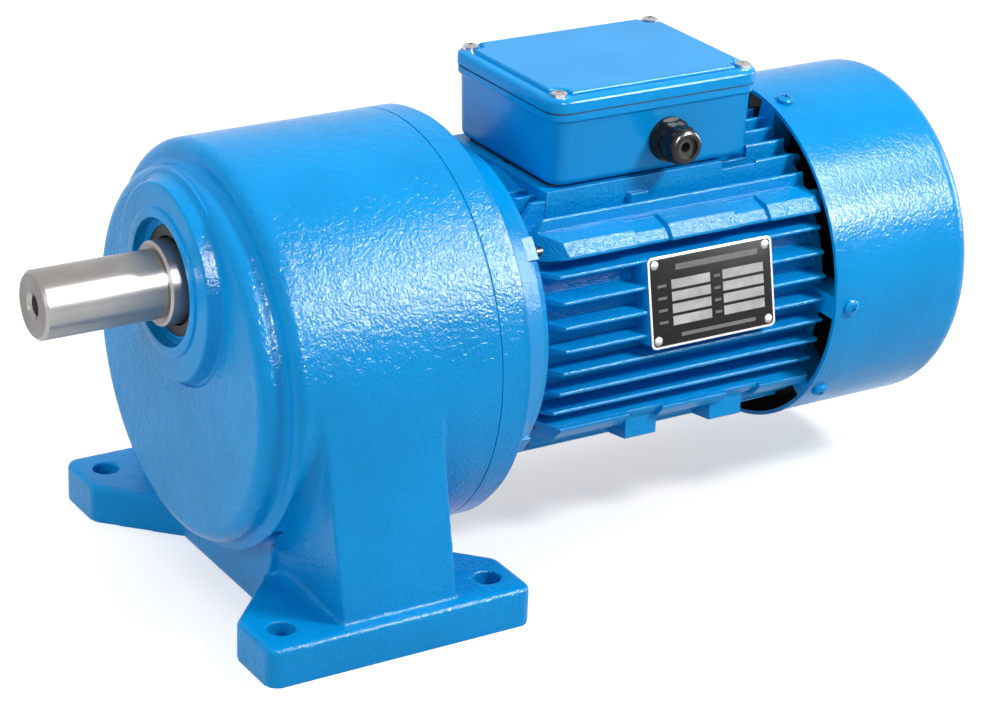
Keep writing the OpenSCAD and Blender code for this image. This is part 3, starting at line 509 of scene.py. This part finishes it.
# ---------- operators ----------
class DressCasing(bpy.types.Operator):
    """Cast gear casing with its feet, the adapter behind it and the oil seal"""
    bl_idname = "gearmotor.dress_casing"
    bl_label = "Gear casing"

    def execute(self, context):
        s = context.scene.gearmotor
        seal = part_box("output_oil_seal")
        shaft_z = (seal[0].z + seal[1].z) / 2
        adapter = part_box("input_adapter")
        self.axis_z = (adapter[0].z + adapter[1].z) / 2
        self.barrel = (adapter[1].y - adapter[0].y) / 2
        # planes behind the front plate, behind the seal's bore and at the rear rim
        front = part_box("gear_casing")[0].x + 24 * MM
        bore_end, rear = -60 * MM, adapter[0].x + 6 * MM
        bore, bolt_seat, sole = 0.0435, 12 * MM, 1.5 * MM
        bolts = [(x, y) for x in (-75 * MM, 75 * MM) for y in (-130 * MM, 130 * MM)]

        def held(p):
            """How far each point keeps its place when the casting is rounded."""
            keep = np.zeros(len(p))
            near = np.hypot(p[:, 1], p[:, 2] - shaft_z)
            keep[p[:, 0] < front] = s.casting.crispness
            keep[(near < bore) & (p[:, 0] < bore_end)] = 0.85
            barrel = np.hypot(p[:, 1], p[:, 2] - self.axis_z) < self.barrel + 1 * MM
            keep[barrel & (p[:, 0] > rear - 3 * MM)] = 1.0
            keep[p[:, 2] < sole] = 0.8
            for x, y in bolts:
                keep[np.hypot(p[:, 0] - x, p[:, 1] - y) < bolt_seat] = 0.85
            return keep

        mesh = cast_copy("gear_casing", s.casting.voxel, s.casting.rounding, held,
                         self.fill_valleys)
        self.true_rim(mesh, rear)
        self.sink_boss(mesh, shaft_z, seal[0].x + 4 * MM)
        piece("cast_casing", mesh, enamel("Cast enamel", 1.0),
              "housing", ("gear_casing",), angle=50.0)
        self.boss(shaft_z, seal[0].x)
        finish_node("input_adapter", enamel("Adapter enamel", 1.0))
        rubber = tuple(s.polymer.rubber_black)
        finish_node("output_oil_seal", moulded("Seal rubber", rubber, 0.45))
        finish_node("motor_oil_seal", moulded("Inner seal rubber", rubber, 0.5))
        return {"FINISHED"}

    def fill_valleys(self, bm):
        """Hollow rounds from the edge of each leg to the barrel and the belly.

        At every level a curve runs from the flat strip at the edge of the leg to
        the barrel, or to the belly where that is wider, and bends in the corner.
        """
        strip = bpy.context.scene.gearmotor.casting.strip
        axis_z, barrel = self.axis_z, self.barrel
        foot_top, leg_front, lean = 27 * MM, -37 * MM, 14 * MM
        leg_foot, belly_foot, belly_spread = 147 * MM, 58 * MM, 0.25
        buried, steps = 6 * MM, 12
        levels = [foot_top - 2 * MM + k * 4 * MM for k in range(31)]
        for side in (-1, 1):
            loops = []
            for z in levels:
                front = leg_front - lean * z / axis_z
                height = (z - foot_top / 2) / (axis_z - foot_top / 2)
                outer = leg_foot + (barrel - leg_foot) * height
                drop = axis_z - z
                round_y = math.sqrt(max(0.0, (barrel - 4 * MM) ** 2 - drop ** 2))
                belly_y = belly_foot + belly_spread * z
                # eases from the belly's front to the barrel's
                up = min(1.0, max(0.0, (z - 30 * MM) / (50 * MM)))
                up = up * up * (3 - 2 * up)
                start = (front, outer - strip)
                end = ((-47 - 17 * up) * MM, max(round_y, belly_y) - 3 * MM)
                bend = (front + 1 * MM, end[1] + 1 * MM)
                curve = []
                for k in range(steps + 1):
                    t = k / steps
                    curve.append([(1 - t) ** 2 * a + 2 * t * (1 - t) * b + t * t * c
                                  for a, b, c in zip(start, bend, end)])
                back = front + buried
                loop = [(back, start[1])] + curve + [(back, end[1] - 2 * MM)]
                loops.append([(x, side * y, z) for x, y in loop])
            skin_loops(bm, loops)
        bmesh.ops.recalc_face_normals(bm, faces=bm.faces)

    def boss(self, shaft_z, floor):
        """Shaft boss with its crisp lip and recess, turned about the shaft.

        floor is the recess round the seal. The profile runs outward from there,
        each point a place on the shaft axis and a radius.
        """
        plate, face = floor + 4 * MM, floor - 6.7 * MM
        seal, recess, lip, edge = 35.6 * MM, 41.6 * MM, 48.6 * MM, 64.7 * MM
        lip_face = face - 1.3 * MM
        nose, hollow, hollow_out = 2 * MM, 3.5 * MM, 4 * MM
        profile = [(plate + 2 * MM, seal), (floor, seal), (floor, recess - 1 * MM),
                   (floor - 0.4 * MM, recess - 0.2 * MM), (floor - 1 * MM, recess),
                   (lip_face + 0.5 * MM, recess), (lip_face, recess + 0.5 * MM),
                   (lip_face, lip - 0.6 * MM), (lip_face + 0.2 * MM, lip - 0.1 * MM),
                   (face - 0.2 * MM, lip), (face, lip + 0.3 * MM)]
        for k in range(7):
            a = math.radians(15 * k)
            profile.append((face + nose * (1 - math.cos(a)), edge - nose * (1 - math.sin(a))))
        foot = edge + 2.2 * MM
        profile.append((plate - hollow, foot))
        for k in range(1, 6):
            a = math.radians(18 * k)
            profile.append((plate - hollow * (1 - math.sin(a)),
                            foot + hollow_out * (1 - math.cos(a))))
        profile.append((plate + 2 * MM, foot + hollow_out))
        count = 160
        turns = [math.tau * k / count for k in range(count)]
        bm = bmesh.new()
        rings = skin_loops(bm, [[(x, r * math.sin(a), shaft_z + r * math.cos(a)) for a in turns]
                                for x, r in profile], capped=False)
        for k in range(count):
            n = (k + 1) % count
            bm.faces.new((rings[0][k], rings[-1][k], rings[-1][n], rings[0][n]))
        piece("shaft_boss", mesh_of("shaft_boss", bm), enamel("Boss enamel", 0.6),
              "housing", angle=24.0)

    def sink_boss(self, mesh, shaft_z, plate):
        """Presses the rough boss of the casting down to the front plate."""
        boss_reach = 69 * MM
        for vertex in mesh.vertices:
            p = vertex.co
            if p.x < plate and math.hypot(p.y, p.z - shaft_z) < boss_reach:
                p.x = plate + 0.6 * MM

    def true_rim(self, mesh, rear):
        """Brings the machined rear rim back to its radius and plane, with a fine seam."""
        rim_edge = self.barrel - 1.4 * MM
        groove = 1 - 0.9 * MM / self.barrel
        for vertex in mesh.vertices:
            p = vertex.co
            reach = math.hypot(p.y, p.z - self.axis_z)
            if not rear - 3.5 * MM < p.x < rear + 0.6 * MM or reach > self.barrel + 1 * MM:
                continue
            if reach > rim_edge:
                p.y *= self.barrel / reach
                p.z = self.axis_z + (p.z - self.axis_z) * self.barrel / reach
            if p.x > rear - 0.9 * MM:
                p.x = rear
                if reach > rim_edge:
                    p.y *= groove
                    p.z = self.axis_z + (p.z - self.axis_z) * groove


class DressShaft(bpy.types.Operator):
    """Turned output shaft"""
    bl_idname = "gearmotor.dress_shaft"
    bl_label = "Output shaft"

    def execute(self, context):
        s = context.scene.gearmotor
        finish_node("output_shaft", turned_steel("Turned shaft steel", tuple(s.metal.steel), 0.31))
        return {"FINISHED"}


class DressGears(bpy.types.Operator):
    """Cycloid stage, gears, bearings and screws inside the casing"""
    bl_idname = "gearmotor.dress_gears"
    bl_label = "Cycloid stage and gears"

    def execute(self, context):
        m = context.scene.gearmotor.metal
        ground = plated("Ground bearing steel", (0.56, 0.56, 0.57), 0.18)
        for name in ("output_bearing_outers", "output_bearing_balls", "output_bearing_inners",
                     "ring_pins", "ring_rollers", "output_pins", "output_rollers",
                     "eccentric_rollers", "cover_bearing_outer", "cover_bearing_balls",
                     "cover_bearing_inner", "motor_bearing_outers", "motor_bearing_balls",
                     "motor_bearing_inners"):
            finish_node(name, ground)
        cut = turned_steel("Machined gear steel", (0.42, 0.42, 0.43), 0.30, 0.9 * MM)
        for name in ("cycloid_disc_a", "cycloid_disc_b", "eccentric_shaft", "input_wheel",
                     "motor_pinion", "motor_shaft"):
            finish_node(name, cut)
        iron = plated("Machined iron", (0.20, 0.20, 0.205), 0.42, 0.0015)
        for name in ("cycloid_ring", "ring_cover"):
            finish_node(name, iron)
        finish_node("pilot_bush", plated("Sintered bronze", (0.48, 0.29, 0.12), 0.4, 0.0004))
        black = plated("Black oxide", tuple(m.black_oxide), 0.4)
        for name in ("cover_screws", "adapter_bolts", "flange_bolts", "tie_bolts",
                     "wheel_circlip", "fan_circlip"):
            finish_node(name, black)
        return {"FINISHED"}


class DressMotor(bpy.types.Operator):
    """Motor flange, finned frame, windings and rotor"""
    bl_idname = "gearmotor.dress_motor"
    bl_label = "Motor"

    def execute(self, context):
        finish_node("motor_flange", enamel("Flange enamel", 0.5, edge=MM))
        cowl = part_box("fan_cowl")
        barrel = ((cowl[0].z + cowl[1].z) / 2, FRAME_BARREL)
        # the barrel between the fins gets painted shade through low gloss
        finish_node("motor_frame", enamel("Frame enamel", 1.1, edge=MM, dull=barrel))
        finish_node("rear_end_shield", enamel("Shield enamel", 0.5, edge=MM))
        layers = Finish("Lamination stack").set(metallic=0.8)
        sheets = layers.noise(1.0, 1.0, place=layers.stretched((1.0 / (0.5 * MM), 0.2, 0.2)))
        layers.colour(layers.mix(sheets, (0.10, 0.10, 0.11), (0.20, 0.20, 0.21)))
        layers.rough(layers.span(sheets, 0.2, 0.8, 0.35, 0.6))
        layers.normal(layers.bump(sheets, 0.0001))
        for name in ("stator_core", "rotor_core"):
            finish_node(name, layers.material)
        wire = Finish("Enamelled wire").set(metallic=0.9)
        strands = wire.noise(1.0, 2.0, place=wire.stretched((1.0 / (1.2 * MM), 30.0, 30.0)))
        wire.colour(wire.mix(strands, (0.30, 0.09, 0.03), (0.62, 0.25, 0.09)))
        wire.rough(wire.span(strands, 0.2, 0.8, 0.25, 0.5))
        wire.normal(wire.bump(strands, 0.0003))
        finish_node("stator_windings", wire.material)
        finish_node("rotor_cage", plated("Cast aluminium", (0.55, 0.56, 0.57), 0.4, 0.001))
        return {"FINISHED"}


class DressCowl(bpy.types.Operator):
    """Fan cowl with its screws and the fan inside"""
    bl_idname = "gearmotor.dress_cowl"
    bl_label = "Fan cowl"

    def execute(self, context):
        low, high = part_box("fan_cowl")
        # the cowl's inner faces get a near-black painted shade
        finish_node("fan_cowl", enamel("Cowl enamel", 0.55, hollow=(low.z + high.z) / 2))
        finish_node("cowl_screws", enamel("Screw enamel", 0.1))
        finish_node("fan", moulded("Fan polyamide", (0.02, 0.02, 0.021), 0.5))
        return {"FINISHED"}


class DressBox(bpy.types.Operator):
    """Terminal box with its lid, gaskets, screws and terminals"""
    bl_idname = "gearmotor.dress_box"
    bl_label = "Terminal box"

    def execute(self, context):
        s = context.scene.gearmotor
        self.box_wall(s)
        self.lid(s)
        rubber = moulded("Gasket rubber", tuple(s.polymer.rubber_black), 0.6)
        finish_node("lid_gasket", rubber)
        self.foot_gasket(rubber)
        finish_node("lid_screws", plated("Zinc plated steel", tuple(s.metal.zinc), 0.22))
        finish_node("terminal_block", moulded("Terminal board", (0.03, 0.025, 0.02), 0.5))
        brass = plated("Brass", (0.60, 0.42, 0.16), 0.25)
        for name in ("terminal_studs", "terminal_links"):
            finish_node(name, brass)
        return {"FINISHED"}

    def box_wall(self, s):
        """Deep box with a collar at its mouth, a slight draft and a rounded floor."""
        plan = plan_of("terminal_box")
        low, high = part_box("terminal_box")
        top, foot, r = high.z, low.z, s.box.floor_radius
        step, wall, mouth = 2.0 * MM, 4.5 * MM, 9 * MM
        # height, inset and corner radius in millimetres, from the mouth down
        levels = [(top, 0.0, 14), (top - 4.3 * MM, 0.0, 14), (top - 5.0 * MM, 0.5 * MM, 13.6),
                  (top - 5.4 * MM, 1.6 * MM, 13), (top - 6.4 * MM, step, 13),
                  (foot + r, step + s.box.draft, 13)]
        for k in range(1, 7):
            a = math.radians(15 * k)
            turned = 1 - math.cos(a)
            levels.append((foot + r * (1 - math.sin(a)), step + s.box.draft + r * turned,
                           13 - r / MM * turned * 0.7))
        # the cavity, from its floor up to the mouth
        cavity = [(foot + wall, 2.4 * MM), (foot + wall + 2 * MM, 0.6 * MM), (top, 0.0)]
        loops = [level_loop(plan, z, wall + step + i, mouth) for z, i in cavity]
        loops += [level_loop(plan, z, i, corner * MM) for z, i, corner in levels]
        bm = bmesh.new()
        skin_loops(bm, loops)
        piece("box_wall", mesh_of("box_wall", bm), enamel("Box enamel", 0.12, 0.9),
              "housing", ("terminal_box",))

    def foot_gasket(self, rubber):
        """Gasket under the box, seen only as a dark line set back from its edge."""
        low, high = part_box("box_gasket")
        plan = plan_of("box_gasket")
        bm = bmesh.new()
        skin_loops(bm, [level_loop(plan, z, 7 * MM, 6 * MM) for z in (low.z, high.z)])
        piece("foot_gasket", mesh_of("foot_gasket", bm), rubber, "housing",
              ("box_gasket",))

    def lid(self, s):
        """Lid with a raised panel that leaves a round shelf at each screw."""
        plan = plan_of("terminal_lid")
        cx, cy = plan[:2]
        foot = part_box("terminal_lid")[0].z
        # height, inset and corner radius in millimetres, from the lower edge up
        levels = [(0.0, 2.0, 13), (0.0, 0.6, 14), (0.5, 0.0, 14.2), (6.6, 0.0, 14.2),
                  (7.4, 0.25, 14), (8.2, 0.9, 13.4), (8.9, 2.0, 12.6), (9.3, 3.4, 11.4)]
        bm = bmesh.new()
        skin_loops(bm, [level_loop(plan, foot + z * MM, i * MM, r * MM) for z, i, r in levels])
        shelf = foot + levels[-1][0] * MM
        bevel = s.box.panel_bevel
        # inset and height over the shelf; the last ring keeps the top's shading flat
        rings = [(0.0, -0.3 * MM), (0.0, 1.6 * MM), (0.35 * bevel, 2.3 * MM),
                 (bevel, 2.7 * MM), (bevel + 0.8 * MM, 2.7 * MM)]
        skin_loops(bm, [[(cx + x, cy + y, shelf + z) for x, y in self.panel(plan, i)]
                        for i, z in rings])
        piece("lid", mesh_of("lid", bm), enamel("Lid enamel", 0.12, 0.9),
              "housing", ("terminal_lid",))

    def panel(self, plan, inset):
        """Outline of the raised panel, with a hollow arc round each screw."""
        margin, screw_room, screw_head, steps = 7.5 * MM, 9.0 * MM, 5.4 * MM, 10
        low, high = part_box("lid_screws")
        sx, sy = (high.x - low.x) / 2 - screw_head, (high.y - low.y) / 2 - screw_head
        ex, ey = plan[2] - margin - inset - sx, plan[3] - margin - inset - sy
        reach = screw_room + inset
        # where the arc round a screw leaves the panel's two edges
        first = math.atan2(-math.sqrt(reach ** 2 - ex ** 2), ex)
        last = math.atan2(ey, -math.sqrt(reach ** 2 - ey ** 2))
        if last > 0:
            last -= 2 * math.pi
        angles = [first + (last - first) * k / steps for k in range(steps + 1)]
        arc = [(sx + reach * math.cos(a), sy + reach * math.sin(a)) for a in angles]
        outline = []
        for ux, uy in ((1, 1), (-1, 1), (-1, -1), (1, -1)):
            corner = [(ux * x, uy * y) for x, y in arc]
            outline += corner if ux == uy else corner[::-1]
        return outline


class DressGland(bpy.types.Operator):
    """Cable gland of the terminal box"""
    bl_idname = "gearmotor.dress_gland"
    bl_label = "Cable gland"

    def execute(self, context):
        p = context.scene.gearmotor.polymer
        black = moulded("Gland polyamide", tuple(p.gland_black), 0.24, 0.0008)
        for name in ("gland_body", "gland_nut", "gland_locknut"):
            finish_node(name, black)
        finish_node("gland_seal", moulded("Gland rubber", tuple(p.rubber_black), 0.5))
        return {"FINISHED"}


class DressNameplate(bpy.types.Operator):
    """Bare nameplate with its rivets"""
    bl_idname = "gearmotor.dress_nameplate"
    bl_label = "Nameplate"

    def execute(self, context):
        s = context.scene.gearmotor
        # the plate leans back with the flank of the casing
        turn = math.radians(11.5)
        out = Vector((0, -math.cos(turn), math.sin(turn)))
        up = Vector((0, math.sin(turn), math.cos(turn)))
        corners = [Vector(v.co) for v in NODES["nameplate"].data.vertices]
        face = max(c.dot(out) for c in corners)
        back = min(c.dot(out) for c in corners)
        heights = [c.dot(up) for c in corners]
        mid_up, half_up = (max(heights) + min(heights)) / 2, (max(heights) - min(heights)) / 2
        low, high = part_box("nameplate")
        cx, half_x = (low.x + high.x) / 2, (high.x - low.x) / 2

        def ring(outline, z):
            """An outline drawn on the plate, at a distance along its outward axis."""
            return [Vector((cx + x, 0, 0)) + up * (mid_up + y) + out * z for x, y in outline]

        sheet = bmesh.new()
        levels = [(back, 0.0), (face - 0.25 * MM, 0.0), (face - 0.05 * MM, 0.12 * MM),
                  (face, 0.4 * MM)]
        skin_loops(sheet, [ring(rounded_outline(half_x - i, half_up - i, 4 * MM - i), z)
                           for z, i in levels])
        bright = plated("Bare plate rim", (0.55, 0.55, 0.56), 0.28)
        piece("plate_sheet", mesh_of("plate_sheet", sheet), bright,
              "housing", ("nameplate",))
        rim = s.plate.rim
        black = bmesh.new()
        levels = [(face - 0.1 * MM, rim), (face + 0.02 * MM, rim),
                  (face + 0.04 * MM, rim + 0.05 * MM)]
        skin_loops(black, [ring(rounded_outline(half_x - i, half_up - i, 3 * MM), z)
                           for z, i in levels])
        coat = moulded("Plate enamel", (0.007, 0.007, 0.008), 0.3, shine=0.15)
        piece("plate_face", mesh_of("plate_face", black), coat, "housing")
        for name, rgb, rows in (("plate_fields", (0.36, 0.36, 0.37), self.fields()),
                                ("plate_lines", (0.12, 0.12, 0.125), self.lines())):
            blocks = bmesh.new()
            for x0, x1, y0, y1 in rows:
                outline = ((x0, y0), (x1, y0), (x1, y1), (x0, y1))
                skin_loops(blocks, [ring(outline, z) for z in (face, face + s.plate.print_height)])
            ink = moulded(name.replace("_", " "), rgb, 0.5, shine=0.15)
            piece(name, mesh_of(name, blocks), ink, "housing")
        finish_node("nameplate_rivets", plated("Rivet aluminium", (0.30, 0.30, 0.31), 0.35))
        return {"FINISHED"}

    def row_tops(self):
        """Upper edges of the four rows, from the middle of the plate."""
        return [14 * MM - k * 8.2 * MM for k in range(4)]

    def fields(self):
        """Empty fields in two columns: x from, x to, y from, y to."""
        rows = []
        for y in self.row_tops():
            rows.append((-32 * MM, -1 * MM, y - 6.2 * MM, y))
            rows.append((9 * MM, 42 * MM, y - 6.2 * MM, y))
        return rows

    def lines(self):
        """Grey strips where such a plate has its small print."""
        rows = [(-28 * MM, 38 * MM, 20 * MM, 24 * MM), (-26 * MM, 34 * MM, -25 * MM, -22.5 * MM)]
        for top in self.row_tops():
            y = top - 2.2 * MM
            rows.append((-43 * MM, -36 * MM, y - 1.8 * MM, y))
            rows.append((2 * MM, 7 * MM, y - 1.8 * MM, y))
        return rows


def plain_sight(tree):
    """1 for rays that look, mirror or pass through to a backdrop, 0 for its own light."""
    path = tree.nodes.new("ShaderNodeLightPath")
    seen = path.outputs["Is Camera Ray"]
    for ray in ("Is Glossy Ray", "Is Transmission Ray"):
        either = tree.nodes.new("ShaderNodeMath")
        either.operation = "MAXIMUM"
        tree.links.new(seen, either.inputs[0])
        tree.links.new(path.outputs[ray], either.inputs[1])
        seen = either.outputs[0]
    return seen


class SetStage(bpy.types.Operator):
    """Pale floor, soft lights and camera"""
    bl_idname = "gearmotor.set_stage"
    bl_label = "Stage"

    def execute(self, context):
        s = context.scene.gearmotor.stage
        scene = context.scene
        scene.view_settings.view_transform = "Standard"
        self.floor()
        self.sky(scene, s.sky)
        middle, gleam = (0.13, 0.0, 0.16), s.gleam_power
        # name, the rays it lights, its target, its place from there, its size and its power
        for light in (
                ("Key light", "all", middle, (0.85, -1.10, 1.25), (0.36, 0.30), s.key_power),
                ("Top light", "matt", middle, (-0.35, 0.5, 1.9), (2.6, 2.2), s.top_power),
                ("Front light", "matt", middle, (-1.7, -0.5, 0.7), (0.8, 0.8), s.front_power),
                ("Gleam", "gloss", (1.17, 0.0, 0.16), (0.0, -1.38, 0.92), (0.84, 0.42), gleam),
                ("Edge gleam", "gloss", (-0.05, 0.0, 0.2), (-0.22, -1.4, 0.9), (0.26, 0.8),
                 gleam * 0.6),
                ("High gleam", "gloss", (1.2, 0.0, 0.2), (0.0, -0.82, 1.32), (0.8, 0.35),
                 gleam * 0.42),
                ("Rim gleam", "gloss", (0.4, 0.0, 0.2), (1.9, -0.3, 0.35), (0.7, 0.9),
                 gleam * 0.25)):
            self.soft_box(*light)
        self.camera(scene, s.lens)
        return {"FINISHED"}

    def floor(self):
        """Pale floor that shows as an even grey, a little lighter far off."""
        half_side, near, far, near_level, far_level = 14.0, 1.2, 3.5, 0.56, 0.84
        bm = bmesh.new()
        bmesh.ops.create_grid(bm, x_segments=1, y_segments=1, size=half_side)
        floor = bpy.data.objects.new("floor", mesh_of("floor", bm))
        bpy.context.scene.collection.objects.link(floor)
        f = Finish("Pale floor").set(roughness=0.9, specular_ior_level=0.0)
        tree = f.tree
        f.colour(f.mix(f.noise(0.4, 2.0), (0.60, 0.60, 0.60), (0.62, 0.62, 0.62)))
        glow = tree.nodes.new("ShaderNodeEmission")
        glow.inputs["Color"].default_value = (1, 1, 1, 1)
        reach = f.vector("LENGTH", f.place, (0.0, 0.0, 0.0)).outputs["Value"]
        level = f.span(reach, near, far, near_level, far_level)
        tree.links.new(f.maths("MULTIPLY", plain_sight(tree), level), glow.inputs["Strength"])
        add = tree.nodes.new("ShaderNodeAddShader")
        tree.links.new(f.shader.outputs[0], add.inputs[0])
        tree.links.new(glow.outputs[0], add.inputs[1])
        tree.links.new(add.outputs[0], tree.nodes["Material Output"].inputs["Surface"])
        floor.data.materials.append(f.material)

    def sky(self, scene, strength):
        """White background whose light on the gearmotor is weaker than it looks."""
        world = bpy.data.worlds.new("Studio")
        scene.world = world
        world.use_nodes = True
        tree = world.node_tree
        back = tree.nodes["Background"]
        back.inputs["Color"].default_value = (1, 1, 1, 1)
        level = tree.nodes.new("ShaderNodeMapRange")
        level.inputs["To Min"].default_value = strength
        level.inputs["To Max"].default_value = 1.0
        tree.links.new(plain_sight(tree), level.inputs["Value"])
        tree.links.new(level.outputs["Result"], back.inputs["Strength"])

    def soft_box(self, name, rays, target, offset, size, energy):
        """Area light that looks at a target, for all rays or for matt or gloss ones alone."""
        data = bpy.data.lights.new(name, "AREA")
        data.shape = "RECTANGLE"
        data.size, data.size_y = size
        data.energy = energy
        light = bpy.data.objects.new(name, data)
        light.location = Vector(target) + Vector(offset)
        light.rotation_euler = (-Vector(offset)).to_track_quat("-Z", "Y").to_euler()
        light.visible_glossy = rays != "matt"
        light.visible_diffuse = rays != "gloss"
        bpy.context.scene.collection.objects.link(light)

    def camera(self, scene, lens):
        """Long lens from before the shaft's left, a little from above and rolled."""
        turn, rise, roll = (math.radians(a) for a in (-31.585, 22.298, 1.995))
        target, distance, shift = Vector((0.130, 0.0, 0.163)), 2.0652, (0.02842, -0.06406)
        away = Vector((math.sin(turn) * math.cos(rise), -math.cos(turn) * math.cos(rise),
                       math.sin(rise)))
        right = away.cross(Vector((0, 0, 1))).normalized() * -1.0
        up = away.cross(right)
        side = math.cos(roll) * right + math.sin(roll) * up
        top = -math.sin(roll) * right + math.cos(roll) * up
        data = bpy.data.cameras.new("Camera")
        data.sensor_width = 36.0
        data.sensor_fit = "HORIZONTAL"
        data.lens = lens
        data.shift_x, data.shift_y = shift
        data.clip_end = 60.0
        camera = bpy.data.objects.new("Camera", data)
        place = Matrix((side, top, away)).transposed().to_4x4()
        place.translation = target + away * distance
        camera.matrix_world = place
        scene.collection.objects.link(camera)
        scene.camera = camera


STEPS = (DressCasing, DressShaft, DressGears, DressMotor, DressCowl, DressBox, DressGland,
         DressNameplate, SetStage)


class GearmotorPanel(bpy.types.Panel):
    """Sizes, colours and pieces of the gearmotor"""
    bl_idname = "VIEW3D_PT_gearmotor"
    bl_label = "Gearmotor"
    bl_space_type = "VIEW_3D"
    bl_region_type = "UI"
    bl_category = "Gearmotor"

    def draw(self, context):
        s = context.scene.gearmotor
        for group in ("enamel", "metal", "polymer", "casting", "box", "plate", "stage"):
            column = self.layout.box().column()
            settings = getattr(s, group)
            column.label(text=group.capitalize())
            for key in settings.__annotations__:
                column.prop(settings, key)
        for step in STEPS:
            self.layout.operator(step.bl_idname)


CLASSES = (EnamelSettings, MetalSettings, PolymerSettings, CastingSettings, BoxSettings,
           PlateSettings, StageSettings, GearmotorSettings, *STEPS, GearmotorPanel)


def register():
    for item in CLASSES:
        bpy.utils.register_class(item)
    bpy.types.Scene.gearmotor = PointerProperty(type=GearmotorSettings)


def unregister():
    del bpy.types.Scene.gearmotor
    for item in reversed(CLASSES):
        bpy.utils.unregister_class(item)


def main():
    register()
    for step in STEPS:
        group, call = step.bl_idname.split(".")
        if getattr(getattr(bpy.ops, group), call)() != {"FINISHED"}:
            raise RuntimeError(step.bl_label + " did not finish")


if __name__ == "__main__":
    main()
